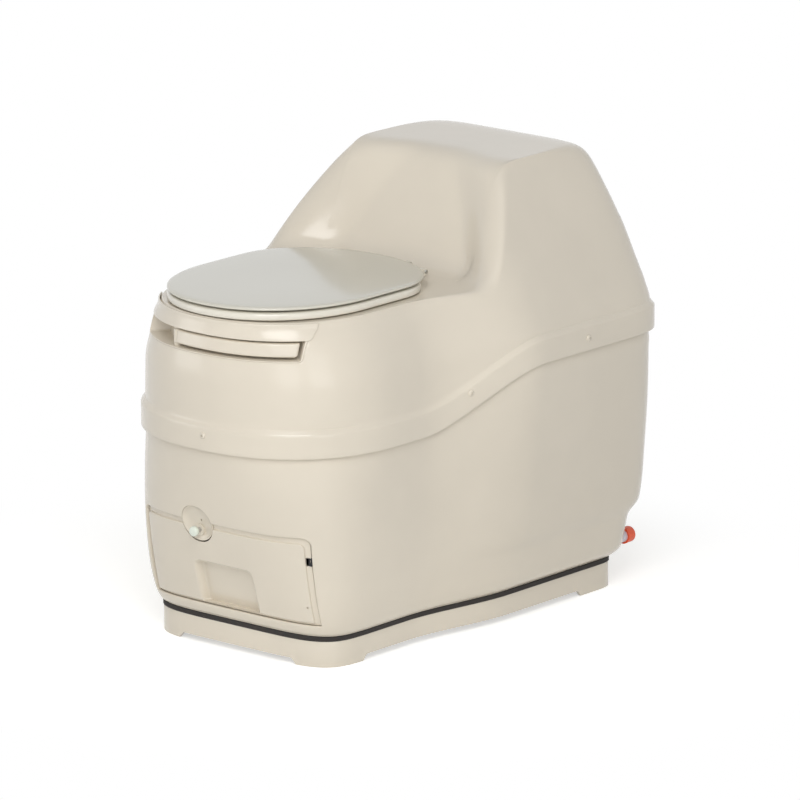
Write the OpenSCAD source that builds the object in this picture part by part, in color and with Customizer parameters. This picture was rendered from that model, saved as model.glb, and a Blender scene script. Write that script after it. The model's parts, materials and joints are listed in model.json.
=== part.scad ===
/* [Overall] */

// height of the rear housing above the floor
roof_h = 704; // [680:1:730]
// height of the seat deck above the floor
deck_h = 538; // [520:1:556]
// half width of the flange band at the rear
flange_half_w = 279.5; // [270:0.5:290]
// half width of the flange band at the nose
nose_half_w = 218.4; // [205:0.2:225]
// distance from the middle to the nose and to the rear of the flange band
flange_reach = 404; // [395:1:410]
// wall thickness of both moulded shells
wall = 5; // [4:0.5:7]
// height of the lower edge of the band at the nose
band_nose_z = 335; // [325:1:345]
// height of the lower edge of the band at the rear
band_rear_z = 420; // [405:1:430]
// height of the flange band
band_h = 38; // [32:1:44]
// how far the flange band stands proud of the lower shell
band_step = 8; // [7:0.1:9]

/* [Base] */

// height of the base tray
tray_h = 41; // [38:1:46]
// thickness of the black gasket
gasket_t = 8; // [6:0.5:10]
// clearance under the arched skirt
skirt_arch = 10; // [6:1:14]
// height of the chamber floor's upper face
floor_z = 30; // [28:1:34]
// thickness of the chamber floor
floor_t = 4; // [3:0.5:6]

/* [Seat and lid] */

// half width of the lid and the seat ring
seat_half_w = 169; // [164:0.5:174]
// reach of the lid in front of the middle
seat_front = 388; // [380:1:394]
// thickness of the seat ring
seat_t = 12; // [10:0.5:14]
// gap that the bumpers keep under seat and lid
bumper_t = 2; // [1.5:0.5:3]
// half width of the opening in the seat
seat_hole_w = 112; // [100:1:120]
// distance of the hinge axis behind the middle
hinge_y = 17; // [14:0.5:20]
// radius of the hinge pins
hinge_pin_r = 3; // [2.5:0.1:3.5]
// running clearance of every turning fit
run_gap = 0.05; // [0.02:0.01:0.1]

/* [Drum] */

// height of the drum axis
drum_z = 346; // [342:1:350]
// outer radius of the front barrel
drum_front_r = 148; // [140:1:150]
// outer radius of the rear barrel
drum_rear_r = 190; // [180:1:192]
// wall thickness of the drum
drum_wall = 3; // [2.5:0.5:4]
// module of the ring gear and the pinion
gear_module = 4; // [4:1:4]
// teeth on the ring gear
gear_teeth = 72; // [72:1:72]
// teeth on the pinion
pinion_teeth = 10; // [10:1:10]
// radius of the drum axles
axle_r = 12; // [10:0.5:14]
// sideways distance of the drive shaft from the middle
drive_x = -60; // [-64:1:-56]

/* [Drawer] */

// half width of the opening for the drawer
drawer_half_w = 166; // [158:1:168]
// lower edge of the opening for the drawer
drawer_z0 = 68; // [64:1:72]
// upper edge of the opening for the drawer
drawer_z1 = 210; // [204:1:212]
// clearance round the drawer front
drawer_gap = 0.7; // [0.5:0.1:1.2]
// width of the recessed margin round the drawer panel
drawer_margin = 9; // [6:1:10]

/* [Services] */

// bore radius of the vent collar
vent_bore_r = 30.3; // [28:0.1:31]
// height of the vent and the fan
vent_z = 600; // [590:1:610]
// radius of the drain stub
drain_r = 10; // [8:0.5:12]
// sideways distance of the drain stub
drain_x = 196; // [185:1:205]
// height of the drain stub
drain_z = 70; // [66:1:76]

/* [Parts] */

/* [Hidden] */

COLS_NOSE = 10;
COLS_SIDE = 12;
COLS_REAR = 10;
HALF = COLS_NOSE + COLS_SIDE + COLS_REAR;
COLS = 2 * HALF;
nose_y = -190;
tail_y = 200;
flare_y0 = -130;
flare_y1 = 85;
gasket_z0 = tray_h;
shell_z0 = tray_h + gasket_t;
wing_foot = 22;
wing_lean = 0.68;
niche_depth = 52;
niche_fade = 0.2;
niche_least = 15;
roll_in = 75;
roll_out = 35;
fillet_k = 24;

function clamp01(t) = max(0, min(1, t));
function smooth(t) = let(c = clamp01(t)) c * c * (3 - 2 * c);
function mix(a, b, t) = a + (b - a) * t;
function soft_max(a, b, k) = let(h = max(0, k - abs(a - b)) / k) max(a, b) + h * h * k / 4;
function soft_min(a, b, k) = -soft_max(-a, -b, k);
function unit(v) = v / norm(v);

// radius factor of a superellipse, 0 degrees on the flank and 90 on the end
function se(t, n) = 1 / pow(pow(abs(cos(t)), n) + pow(abs(sin(t)), n), 1 / n);
function flare(y) = smooth((y - flare_y0) / (flare_y1 - flare_y0));
function flank_x(o, y) = mix(o[0], o[4], flare(y));

// a plan outline is [nose half width, nose centre, nose depth, nose power, tail half width, tail centre, tail depth, tail power]
function plan_half(o, i) =
    i <= COLS_NOSE ? let(t = 90 - 90 * i / COLS_NOSE, f = se(t, o[3]))
        [o[0] * cos(t) * f, o[1] - o[2] * sin(t) * f]
    : i <= COLS_NOSE + COLS_SIDE ? let(y = mix(o[1], o[5], (i - COLS_NOSE) / COLS_SIDE))
        [flank_x(o, y), y]
    : let(t = 90 * (i - COLS_NOSE - COLS_SIDE) / COLS_REAR, f = se(t, o[7]))
        [flank_x(o, o[5]) * cos(t) * f, o[5] + o[6] * sin(t) * f];
function plan_pt(o, j) =
    let(i = j <= HALF ? j : COLS - j, p = plan_half(o, i))
    [j <= HALF ? p[0] : -p[0], p[1]];
function outline(o) = [for (j = [0:COLS - 1]) plan_pt(o, j)];
function grow(o, d) = [o[0] + d, o[1], o[2] + d, o[3], o[4] + d, o[5], o[6] + d, o[7]];

// outlines of the band, the base and the seat
nose_reach = flange_reach + nose_y;
tail_reach = flange_reach - tail_y;
band_o = [nose_half_w, nose_y, nose_reach, 2.3, flange_half_w, tail_y, tail_reach, 6.6];
base_o = [nose_half_w - 35.4, nose_y, nose_reach - 87, 5, flange_half_w - 70.5, tail_y, tail_reach - 56, 14];
function band_z(j) = mix(band_nose_z, band_rear_z, flare(plan_pt(band_o, j)[1]));

// bowl and rear housing, by height: how far the wall lies inside the band
bowl_w = [[band_nose_z, 4.4], [deck_h - 98, 6.4], [deck_h - 53, 17.4], [deck_h - 23, 28.4], [deck_h - 5, 37.4],
    [roof_h, 40.4]];
bowl_y = [[band_nose_z, 4], [deck_h - 98, 5], [deck_h - 53, 9.5], [deck_h - 23, 13], [deck_h - 5, 16], [roof_h, 18]];
rear_w = [[band_rear_z, 5.5], [deck_h - 75, 7], [deck_h - 48, 17.5], [deck_h - 15, 33.5], [deck_h + 32, 57.5],
    [roof_h - 70, 89.5], [roof_h - 7, 129.5], [roof_h, 136.5]];
rear_y = [[band_rear_z, 6], [deck_h - 75, 7], [deck_h - 38, 9], [deck_h - 15, 12], [deck_h + 32, 16],
    [roof_h - 70, 30], [roof_h - 7, 48], [roof_h, 59]];
rear_n = [[band_rear_z, 6.6], [deck_h - 15, 7.5], [roof_h, 9]];
function rear_x(z) = flange_half_w - lookup(z, rear_w);
function wall_o(z) =
    [nose_half_w - lookup(z, bowl_w), nose_y, nose_reach - lookup(z, bowl_y), 2.25,
     rear_x(z), tail_y, tail_reach - lookup(z, rear_y), lookup(z, rear_n)];

// height of the deck, the niche and the roof over a point of the plan
function face_y(x, z) =
    let(c = max(niche_least, niche_depth - (z - deck_h) * niche_fade),
        t = (abs(x) - rear_x(z) + roll_in) / (roll_in - roll_out))
    wing_foot + (z - deck_h) * wing_lean + c * (1 - smooth(t));
function face_z(x, y, lo, hi, n) =
    n == 0 ? (lo + hi) / 2
    : let(m = (lo + hi) / 2) face_y(x, m) < y ? face_z(x, y, m, hi, n - 1) : face_z(x, y, lo, m, n - 1);
function top_z(x, y) =
    soft_max(deck_h, soft_min(roof_h, face_z(x, y, 300, 1100, 14), 30), fillet_k);
function crest_z(j, z, n) =
    n == 0 ? z
    : let(p = plan_pt(wall_o(z), j))
        crest_z(j, mix(z, min(roof_h - 6, top_z(p[0], p[1]) - 5), 0.6), n - 1);

seat_hole_y = 112;
foot_o = [nose_half_w - 62.4, nose_y, nose_reach - 38, 2.3, flange_half_w - 141.5, -20, 70, 2];
roof_o = [nose_half_w - 43.4, nose_y, nose_reach - 24, 2.3, flange_half_w - 137.5, 105, 46, 6];
hole_o = [seat_hole_w + 12, nose_y, seat_hole_y + 6, 2.2, seat_hole_w + 6, -140, 84, 2.4];
wall_steps = [0.12, 0.3, 0.48, 0.66, 0.82, 0.94, 1];
roof_steps = [0.06, 0.3, 0.65, 1];
face_steps = [0.12, 0.25, 0.38, 0.5, 0.62, 0.75, 0.88, 1];
deck_steps = [0.35, 0.7, 0.97];

function upper_wall_row(s) = [for (j = [0:COLS - 1])
    let(z0 = band_z(j) + band_h + 5, z1 = crest[j], z = mix(z0, z1, s), p = plan_pt(wall_o(z), j))
    [p[0], p[1], z]];
function top_row(a, b, s) = [for (j = [0:COLS - 1])
    let(p = mix(a[j], b[j], s)) [p[0], p[1], top_z(p[0], p[1])]];
function row_at(o, dz) = [for (j = [0:COLS - 1]) let(p = plan_pt(o, j)) [p[0], p[1], band_z(j) + dz]];
function flat_row(o, z) = [for (j = [0:COLS - 1]) let(p = plan_pt(o, j)) [p[0], p[1], z]];

crest = [for (j = [0:COLS - 1]) crest_z(j, deck_h + 62, 24)];
crest_plan = [for (j = [0:COLS - 1]) plan_pt(wall_o(crest[j]), j)];
lap_gap = 0.5;
lap_o = grow(band_o, -band_step);
band_in = grow(band_o, -4.5);
upper_free = concat(
    [for (s = wall_steps) upper_wall_row(s)],
    [for (s = roof_steps) top_row(crest_plan, outline(roof_o), s)],
    [for (s = face_steps) top_row(outline(roof_o), outline(foot_o), s)],
    [for (s = deck_steps) top_row(outline(foot_o), outline(hole_o), s)],
    [flat_row(grow(hole_o, -2), deck_h - 3), flat_row(grow(hole_o, -3), deck_h - 16)]);
upper_outer = concat([row_at(band_o, 0), row_at(band_o, band_h), row_at(band_in, band_h + 5)], upper_free);

// inward normal offset of a grid of rows
function col(j) = (j + COLS) % COLS;
function grid_normal(g, k, j) =
    let(u = g[k][col(j + 1)] - g[k][col(j - 1)],
        v = g[min(k + 1, len(g) - 1)][j] - g[max(k - 1, 0)][j])
    unit(cross(u, v));
function inset_rows(g, k0, d) = [for (k = [k0:len(g) - 1]) [for (j = [0:COLS - 1]) g[k][j] - d * grid_normal(g, k, j)]];
upper_inner = concat(
    [row_at(grow(lap_o, lap_gap), 0), row_at(grow(lap_o, lap_gap), band_h - 5),
     row_at(grow(band_in, -wall), band_h - 5)],
    inset_rows(upper_outer, 3, wall));

// lower shell, by height: how far the wall lies inside the band
low_nose_w = [[49, 34.4], [54, 29.4], [62, 25.4], [80, 20.4], [118, 14.4], [235, 9.4], [band_nose_z, 8]];
low_nose_y = [[49, 87], [54, 83], [62, 79], [80, 73], [118, 62], [235, 30], [band_nose_z, 7.6]];
low_nose_n = [[49, 5], [118, 4.2], [235, 3], [band_nose_z, 2.3]];
low_rear_w = [[49, 70.5], [54, 63.5], [62, 55.5], [100, 47.5], [118, 44.5], [140, 35.5], [235, 22.5], [314, 13.5],
    [400, 5.6]];
low_rear_y = [[49, 56], [54, 49], [62, 42], [100, 36], [118, 34], [140, 14], [235, 10], [314, 8], [400, 7.6]];
low_rear_n = [[49, 14], [140, 12], [260, 9], [400, 6.6]];
function low_o(z) =
    [nose_half_w - lookup(z, low_nose_w), nose_y, nose_reach - lookup(z, low_nose_y), lookup(z, low_nose_n),
     flange_half_w - lookup(z, low_rear_w), tail_y, tail_reach - lookup(z, low_rear_y), lookup(z, low_rear_n)];
low_levels = [shell_z0, 54, 62, 80, 100, 118, 140];
low_steps = [0.14, 0.3, 0.48, 0.66, 0.84];
function low_row(s) = [for (j = [0:COLS - 1])
    let(z = mix(140, band_z(j), s),
        p = plan_pt(low_o(z + (band_nose_z - band_z(j)) * s * (1 - flare(p_y(j)))), j))
    [p[0], p[1], z]];
function p_y(j) = plan_pt(band_o, j)[1];
lower_outer = concat(
    [for (z = low_levels) flat_row(low_o(z), z)],
    [for (s = low_steps) low_row(s)],
    [row_at(lap_o, 0), row_at(lap_o, band_h - 5.4)]);
lower_inner = concat(
    [flat_row(grow(low_o(shell_z0), -wall), shell_z0)],
    inset_rows(lower_outer, 1, wall));

// closed solids from rings of points
function ring_faces(n, a, b) = [for (j = [0:n - 1]) let(k = (j + 1) % n)
    each [[a * n + j, a * n + k, b * n + k], [a * n + j, b * n + k, b * n + j]]];
function flat_list(rows) = [for (r = rows) each r];

module loop_loft(rows) {
    n = len(rows[0]);
    m = len(rows);
    polyhedron(points = flat_list(rows), faces = [for (k = [0:m - 1]) each ring_faces(n, k, (k + 1) % m)]);
}

module solid_loft(rows) {
    n = len(rows[0]);
    m = len(rows);
    polyhedron(
        points = flat_list(reversed(rows)),
        faces = concat(
            [for (k = [0:m - 2]) each ring_faces(n, k, k + 1)],
            [[for (j = [0:n - 1]) n - 1 - j]],
            [[for (j = [0:n - 1]) (m - 1) * n + j]]));
}

function reversed(v) = [for (k = [len(v) - 1:-1:0]) v[k]];

module shell_solid(outer, inner) {
    loop_loft(concat(reversed(outer), inner));
}

// every second point of a ring, for the smaller loops
function thin(row) = [for (j = [0:2:COLS - 1]) row[j]];
function ring(o, z) = thin(flat_row(o, z));

// a point of a nose outline at sideways distance x, moved outwards by d
function nose_pt(o, x, d) =
    let(n = o[3], q = pow(max(0.0001, 1 - pow(abs(x) / o[0], n)), 1 / n),
        g = unit([sign(x) * pow(abs(x) / o[0], n - 1) / o[0], -pow(q, n - 1) / o[2]]))
    [x + d * g[0], o[1] - o[2] * q + d * g[1]];
function skin_o(bowl, z) = bowl ? wall_o(z) : low_o(z);
function skin_y(bowl, x, z, d) = nose_pt(skin_o(bowl, z), x, d)[1];

// a patch that follows the moulded wall, from rows of [height, left, right] and two offsets
module nose_patch(bowl, rows, d0, d1, n = 16) {
    m = len(rows);
    w = 2 * (n + 1);
    pts = [for (r = rows) each concat(
        [for (i = [0:n]) let(p = nose_pt(skin_o(bowl, r[0]), mix(r[1], r[2], i / n), d0)) [p[0], p[1], r[0]]],
        [for (i = [n:-1:0]) let(p = nose_pt(skin_o(bowl, r[0]), mix(r[1], r[2], i / n), d1)) [p[0], p[1], r[0]]])];
    polyhedron(points = pts, faces = concat(
        [for (k = [0:m - 2]) each ring_faces(w, k, k + 1)],
        [for (i = [0:n - 1]) each [[i + 1, i, w - 1 - i], [i + 1, w - 1 - i, w - 2 - i]]],
        [for (i = [0:n - 1]) let(b = (m - 1) * w)
            each [[b + i, b + i + 1, b + w - 1 - i], [b + i + 1, b + w - 2 - i, b + w - 1 - i]]]));
}

module along_y(y0, y1, r) {
    translate([0, y0, 0])
        rotate([-90, 0, 0])
            cylinder(r = r, h = y1 - y0, $fn = 96);
}

module along_x(x0, x1, r) {
    translate([x0, 0, 0])
        rotate([0, 90, 0])
            cylinder(r = r, h = x1 - x0, $fn = 48);
}

// turns a profile of [radius, y] points about a lengthwise axis
module turned(points) {
    rotate([-90, 0, 0])
        rotate_extrude($fn = 128)
            polygon(points);
}

module prism(o, z0, z1) {
    translate([0, 0, z0])
        linear_extrude(height = z1 - z0)
            polygon(outline(o));
}

/* base */

foot_len = 62;
tray_wall = 5;
module base_tray() {
    color([0.85, 0.81, 0.74])
    difference() {
        prism(base_o, 0, gasket_z0);
        prism(grow(base_o, -tray_wall), floor_z, gasket_z0 + 1);
        prism(grow(base_o, -tray_wall), -1, floor_z - floor_t);
        skirt_cut(base_o[0] - foot_len, 900);
        rotate([0, 0, 90])
            translate([14, 0, 0])
                skirt_cut(base_o[6] + tail_y - 14 - foot_len, 900);
        for (p = cover_posts)
            translate([p[0], p[1], floor_z - floor_t - 1])
                cylinder(r = screw_r, h = 4, $fn = 24);
    }
}

module skirt_cut(half, deep) {
    translate([0, deep / 2, 0])
        rotate([90, 0, 0])
            linear_extrude(height = deep)
                polygon([[-half, -1], [-half + 12, skirt_arch], [half - 12, skirt_arch], [half, -1]]);
}

module base_gasket() {
    color([0.13, 0.12, 0.12])
    difference() {
        prism(grow(base_o, 1), gasket_z0, shell_z0);
        prism(grow(base_o, -tray_wall), gasket_z0 - 1, shell_z0 + 1);
    }
}

heater_w = 130;
heater_y0 = -120;
heater_y1 = 160;
heater_r = 3.5;
heater_top = floor_z - floor_t;
heater_axis_z = heater_top - 2 - heater_r;
cover_t = 1.5;
cover_z = 11;
cover_posts = [[-150, -150], [150, -150], [-150, 190], [150, 190]];
screw_r = 2;

module heater_plate() {
    color([0.78, 0.79, 0.8])
    translate([-heater_w - 6, heater_y0 - 30, heater_top - 2])
        cube([2 * heater_w + 12, heater_y1 - heater_y0 + 60, 2]);
}

module heater_element() {
    color([0.45, 0.44, 0.43])
    translate([0, 0, heater_axis_z]) {
        for (x = [-heater_w + 15:50:heater_w - 15])
            translate([x, 0, 0])
                along_y(heater_y0, heater_y1, heater_r);
        for (x = [-heater_w + 15:100:heater_w - 65]) {
            heater_bend(x + 25, heater_y1, 0);
            heater_bend(x + 75, heater_y0, 180);
        }
        heater_bend(heater_w - 40, heater_y1, 0);
    }
}

module heater_bend(x, y, turn) {
    translate([x, y, 0])
        rotate([0, 0, turn])
            rotate_extrude(angle = 180, $fn = 64)
                translate([25, 0])
                    circle(r = heater_r, $fn = 24);
}

module thermostat() {
    color([0.2, 0.2, 0.21]) {
        translate([0, 212, heater_top - 12])
            cylinder(r = 14, h = 12, $fn = 48);
        translate([-6, 193, heater_top - 8])
            cube([12, 14, 8]);
    }
}

module base_cover() {
    color([0.62, 0.63, 0.64]) {
        difference() {
            translate([-160, -160, cover_z])
                cube([320, 360, cover_t]);
            for (x = [-120:40:120])
                translate([x - 3, -20, cover_z - 1])
                    cube([6, 60, cover_t + 2]);
        }
        for (p = cover_posts)
            translate([p[0], p[1], cover_z + cover_t - 0.5])
                cylinder(r = 6, h = heater_top - cover_z - cover_t + 0.5, $fn = 32);
    }
}

/* shells */

boss_r = 26;
bearing_y0 = 18 - flange_reach;
drum_y0 = 100 - flange_reach;
boss_y1 = drum_y0 - 22;
bush_r = 16;
vent_boss_r = 42;
vent_boss_y0 = flange_reach - 52;
vent_boss_y1 = flange_reach - 12;
vent_tube_r = vent_bore_r + 2.7;
dish_x = -35;
dish_z = 206;
dish_r = 30;
dish_tilt = 14.5;
dish_sink = 1.5;
latch_x = 160;
latch_z = 172;
latch_w = 6;
latch_h = 13;
gland_x = -150;
gland_z = 96;
gland_r = 7;
pocket_half = 150;
pocket_z0 = deck_h - 55;
pocket_z1 = deck_h - 26;
pocket_mid = (pocket_z0 + pocket_z1) / 2;
pocket_deep = 30.5;
pocket_wall = 2.5;
weld = 0.3;
post_x = 75;
post_r = 4;
lock_x = -37;
lock_z = 194;

// dome screws along the band: [position, turn of the outward normal, height]
screw_head_r = 5;
nose_screw_x = 12;
flank_screws = [[-46, 28], [188, 20]];
rear_screw_x = 120;
rear_screw_y = tail_y + band_o[6] * pow(1 - pow(rear_screw_x / flange_half_w, band_o[7]), 1 / band_o[7]);
function band_at(y) = mix(band_nose_z, band_rear_z, flare(y));
function flank_turn(y) = -atan2(flank_x(band_o, y + 1) - flank_x(band_o, y - 1), 2);
spots = concat(
    [[nose_pt(band_o, nose_screw_x, 0), -90 + 2, band_nose_z + 24]],
    [for (m = [1, -1], f = flank_screws) let(t = flank_turn(f[0]))
        [[m * flank_x(band_o, f[0]), f[0]], m > 0 ? t : 180 - t, band_at(f[0]) + f[1]]],
    [for (m = [1, -1]) [[m * rear_screw_x, rear_screw_y], 90, band_rear_z + 20]]);

module at_spots() {
    for (s = spots)
        translate([s[0][0], s[0][1], s[2]])
            rotate([0, 0, s[1]])
                rotate([0, 90, 0])
                    children();
}

module shell_screws() {
    color([0.86, 0.83, 0.77])
    at_spots() {
        rotate_extrude($fn = 48)
            polygon([[0, -16], [screw_r, -16], [screw_r, -2], [screw_head_r, -2], [screw_head_r, 0.8],
                [4.4, 1.8], [3.2, 2.5], [1.6, 2.9], [0, 3]]);
    }
}

module screw_holes() {
    at_spots() {
        translate([0, 0, -30])
            cylinder(r = screw_r, h = 40, $fn = 32);
        translate([0, 0, -2])
            cylinder(r = screw_head_r, h = 12, $fn = 48);
    }
}

module lower_shell() {
    color([0.86, 0.82, 0.75])
    difference() {
        union() {
            shell_solid(lower_outer, lower_inner);
            translate([0, 0, drum_z])
                along_y(bearing_y0 - 2, boss_y1, boss_r);
        }
        translate([0, 0, drum_z])
            along_y(bearing_y0, boss_y1 + 1, bush_r);
        drawer_opening();
        dish_cut();
        translate([drain_x, 300, drain_z])
            along_y(0, 100, drain_r);
        translate([gland_x, 300, gland_z])
            along_y(0, 100, gland_r);
        screw_holes();
    }
}

corner_cut = 14;
module drawer_opening() {
    w = drawer_half_w;
    c = corner_cut;
    translate([0, -250, 0])
        rotate([90, 0, 0])
            linear_extrude(height = 200)
                polygon([[-w, drawer_z0], [w, drawer_z0], [w, drawer_z1 - c], [w - c * 0.3, drawer_z1 - c * 0.3],
                    [w - c, drawer_z1], [c - w, drawer_z1], [c * 0.3 - w, drawer_z1 - c * 0.3],
                    [-w, drawer_z1 - c]]);
}

module dish_cut() {
    translate([dish_x, skin_y(false, dish_x, dish_z, 0), dish_z])
        rotate([90 + dish_tilt, 0, 0])
            translate([0, 0, -22])
                cylinder(r = dish_r, h = 60, $fn = 96);
}

module upper_shell() {
    color([0.86, 0.82, 0.75])
    difference() {
        union() {
            shell_solid(upper_outer, upper_inner);
            translate([0, 0, vent_z])
                along_y(vent_boss_y0, vent_boss_y1, vent_boss_r);
        }
        translate([0, 0, vent_z])
            along_y(vent_boss_y0 - 1, vent_boss_y1 + 20, vent_tube_r);
        nose_patch(true, pocket_rows(pocket_wall - weld), -12, 9);
        for (x = [-post_x, post_x])
            translate([x, hinge_y, deck_h - 20])
                cylinder(r = post_r, h = 40, $fn = 32);
        screw_holes();
    }
}

function pocket_rows(d) =
    [for (z = [pocket_z0 - d, pocket_mid, pocket_z1 + d]) [z, -pocket_half - d, pocket_half + d]];

fascia_half = 168;
fascia_t = 2.6;
module handle_housing() {
    color([0.86, 0.82, 0.75])
    difference() {
        union() {
            nose_patch(true, pocket_rows(pocket_wall), -pocket_deep - pocket_wall, 1);
            nose_patch(true, [for (z = [pocket_z1, deck_h - 19, deck_h - 12, deck_h - 6, deck_h - 1]) [z, -fascia_half, fascia_half]],
                0.5, fascia_t, 24);
        }
        nose_patch(true, pocket_rows(0), -pocket_deep, 12);
        translate([drive_x, bush_y0, drive_z])
            along_y(-20, 40, drive_bush_r);
    }
}

/* drive */

drive_dist = gear_module * (gear_teeth + pinion_teeth) / 2;
drive_z = drum_z + sqrt(drive_dist * drive_dist - drive_x * drive_x);
drive_bush_r = 9;
drive_shaft_r = 6;
hinge_off = 8;
knuckle_r = 6.5;
handle_pin_r = 3;
handle_z0 = pocket_z0 + 5;
handle_z1 = pocket_z1 - 3;
handle_pin_xy = nose_pt(wall_o(pocket_mid), drive_x, -hinge_off);

module handle_bracket() {
    color([0.84, 0.8, 0.73])
    translate([handle_pin_xy[0], handle_pin_xy[1], 0])
    difference() {
        union() {
            translate([-9, 8, pocket_z0])
                cube([18, 7, pocket_z1 - pocket_z0]);
            for (z = [[pocket_z0, handle_z0 - 0.4], [handle_z1 + 0.4, pocket_z1]]) {
                translate([-6, 0, z[0]])
                    cube([12, 10, z[1] - z[0]]);
                translate([0, 0, z[0]])
                    cylinder(r = 6, h = z[1] - z[0], $fn = 48);
            }
        }
        translate([0, 0, pocket_z0 - 1])
            cylinder(r = handle_pin_r, h = 40, $fn = 48);
    }
}

module handle_pin() {
    color([0.75, 0.76, 0.77])
    translate([handle_pin_xy[0], handle_pin_xy[1], pocket_z0])
        cylinder(r = handle_pin_r, h = pocket_z1 - pocket_z0, $fn = 48);
}

handle_x1 = 146;
module drum_handle() {
    color([0.88, 0.85, 0.78])
    difference() {
        union() {
            nose_patch(true, [[handle_z0, drive_x + 4, handle_x1], [(handle_z0 + handle_z1) / 2, drive_x + 4, handle_x1],
                [handle_z1, drive_x + 4, handle_x1]], -13, -1.5);
            translate([handle_pin_xy[0], handle_pin_xy[1], handle_z0])
                cylinder(r = knuckle_r, h = handle_z1 - handle_z0, $fn = 64);
        }
        translate([handle_pin_xy[0], handle_pin_xy[1], handle_z0 - 1])
            cylinder(r = handle_pin_r + run_gap, h = 60, $fn = 64);
    }
}

gear_y0 = drum_y0 - 14;
gear_y1 = drum_y0 - 4;
bush_y1 = drum_y0 - 32;
module drive_bush() {
    color([0.72, 0.6, 0.35])
    translate([drive_x, 0, drive_z])
    difference() {
        along_y(bush_y0, bush_y1, drive_bush_r);
        along_y(bush_y0 - 1, bush_y1 + 1, drive_shaft_r + run_gap);
    }
}

bush_y0 = nose_pt(wall_o(pocket_mid), drive_x, -pocket_deep)[1] - 1;
module drive_shaft() {
    color([0.72, 0.73, 0.75])
    translate([drive_x, 0, drive_z]) {
        along_y(bush_y0 + 2, gear_y1 + 2, drive_shaft_r);
        along_y(bush_y1 + 1, gear_y0, drive_bush_r);
    }
}

// involute teeth with short addendum
gear_pa = 25;
function inv_deg(a) = tan(a) * 180 / PI - a;
function tooth_half(z, r) =
    let(rp = gear_module * z / 2, rb = rp * cos(gear_pa), a = r > rb ? acos(rb / r) : 0)
    90 / z * 0.96 + inv_deg(gear_pa) - inv_deg(a);
function tooth_outline(z, phase) =
    let(rp = gear_module * z / 2, r0 = rp - gear_module, r1 = rp + 0.8 * gear_module, rb = rp * cos(gear_pa),
        radii = [max(r0 + 0.3, rb), rp - gear_module * 0.35, rp, rp + gear_module * 0.4, r1])
    [for (t = [0:z - 1]) let(c = phase + 360 * t / z) each concat(
        [polar(r0, c - 180 / z), polar(r0, c - tooth_half(z, radii[0]) - 0.6 * 36 / z)],
        [for (r = radii) polar(r, c - tooth_half(z, r))],
        [for (k = [4:-1:0]) polar(radii[k], c + tooth_half(z, radii[k]))],
        [polar(r0, c + tooth_half(z, radii[0]) + 0.6 * 36 / z)])];
function polar(r, a) = [r * cos(a), r * sin(a)];
drive_angle = atan2(drive_z - drum_z, drive_x);

// a flat outline in the x-z plane, made thick along y
module plate_y(y0, y1) {
    translate([0, y1, 0])
        rotate([90, 0, 0])
            linear_extrude(height = y1 - y0)
                children();
}

module drive_pinion() {
    color([0.9, 0.89, 0.85])
    translate([drive_x, 0, drive_z])
        plate_y(gear_y0 + 0.5, gear_y1 - 0.5)
            difference() {
                polygon(tooth_outline(pinion_teeth, drive_angle + 180 + 180 / pinion_teeth));
                circle(r = drive_shaft_r, $fn = 64);
            }
}

module drum_gear() {
    color([0.9, 0.89, 0.85])
    translate([0, 0, drum_z]) {
        plate_y(gear_y0, gear_y1)
            difference() {
                polygon(tooth_outline(gear_teeth, drive_angle));
                circle(r = 118, $fn = 128);
            }
        turned([[120, gear_y1 - 0.5], [132, gear_y1 - 0.5], [132, drum_y0], [120, drum_y0]]);
    }
}

/* drum */

lock_disc_r = 161;
drum_joint_y = 10;
cone_y = 72;
drum_y1 = 330;
port_half = 58;
port_y0 = drum_y0 + 32;
port_y1 = port_y0 + 210;
module drum_front() {
    color([0.8, 0.78, 0.72])
    translate([0, 0, drum_z])
    difference() {
        turned([[axle_r, drum_y0], [lock_disc_r, drum_y0], [lock_disc_r, drum_y0 + 4],
            [drum_front_r, drum_y0 + 4], [drum_front_r, drum_joint_y - 4], [drum_front_r + 9, drum_joint_y - 4],
            [drum_front_r + 9, drum_joint_y], [drum_front_r - drum_wall, drum_joint_y],
            [drum_front_r - drum_wall, drum_y0 + 4], [axle_r, drum_y0 + 4]]);
        translate([-port_half, port_y0, 60])
            cube([2 * port_half, port_y1 - port_y0, 120]);
        translate([lock_x, 0, lock_z - drum_z])
            along_y(drum_y0 - 1, drum_y0 + 5, lock_rod_r + 1.5);
        translate([lock_x - lock_rod_r - 1.5, drum_y0 - 1, lock_z - drum_z - 12])
            cube([2 * lock_rod_r + 3, 6, 12]);
        drum_screw_holes(drum_joint_y - 5, drum_joint_y + 1, drum_front_r + 5);
    }
}

module drum_screw_holes(y0, y1, r) {
    for (a = [30:60:330])
        rotate([0, a, 0])
            translate([r, 0, 0])
                along_y(y0, y1, screw_r);
}

module drum_rear() {
    color([0.8, 0.78, 0.72])
    translate([0, 0, drum_z])
    difference() {
        turned([[drum_front_r - drum_wall, drum_joint_y], [drum_front_r + 9, drum_joint_y],
            [drum_front_r + 9, drum_joint_y + 4], [drum_front_r + 1, drum_joint_y + 4],
            [drum_rear_r, cone_y], [drum_rear_r, drum_y1], [axle_r, drum_y1], [axle_r, drum_y1 - 4],
            [drum_rear_r - drum_wall, drum_y1 - 4], [drum_rear_r - drum_wall, cone_y + 1]]);
        drum_screw_holes(drum_joint_y - 1, drum_joint_y + 5, drum_front_r + 5);
        for (a = [0:30:330])
            rotate([0, a, 0]) {
                translate([drum_rear_r - 40, 0, 0])
                    along_y(drum_y1 - 5, drum_y1 + 1, 16);
                translate([drum_rear_r - 85, 0, 0])
                    along_y(drum_y1 - 5, drum_y1 + 1, 10);
            }
    }
}

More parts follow.
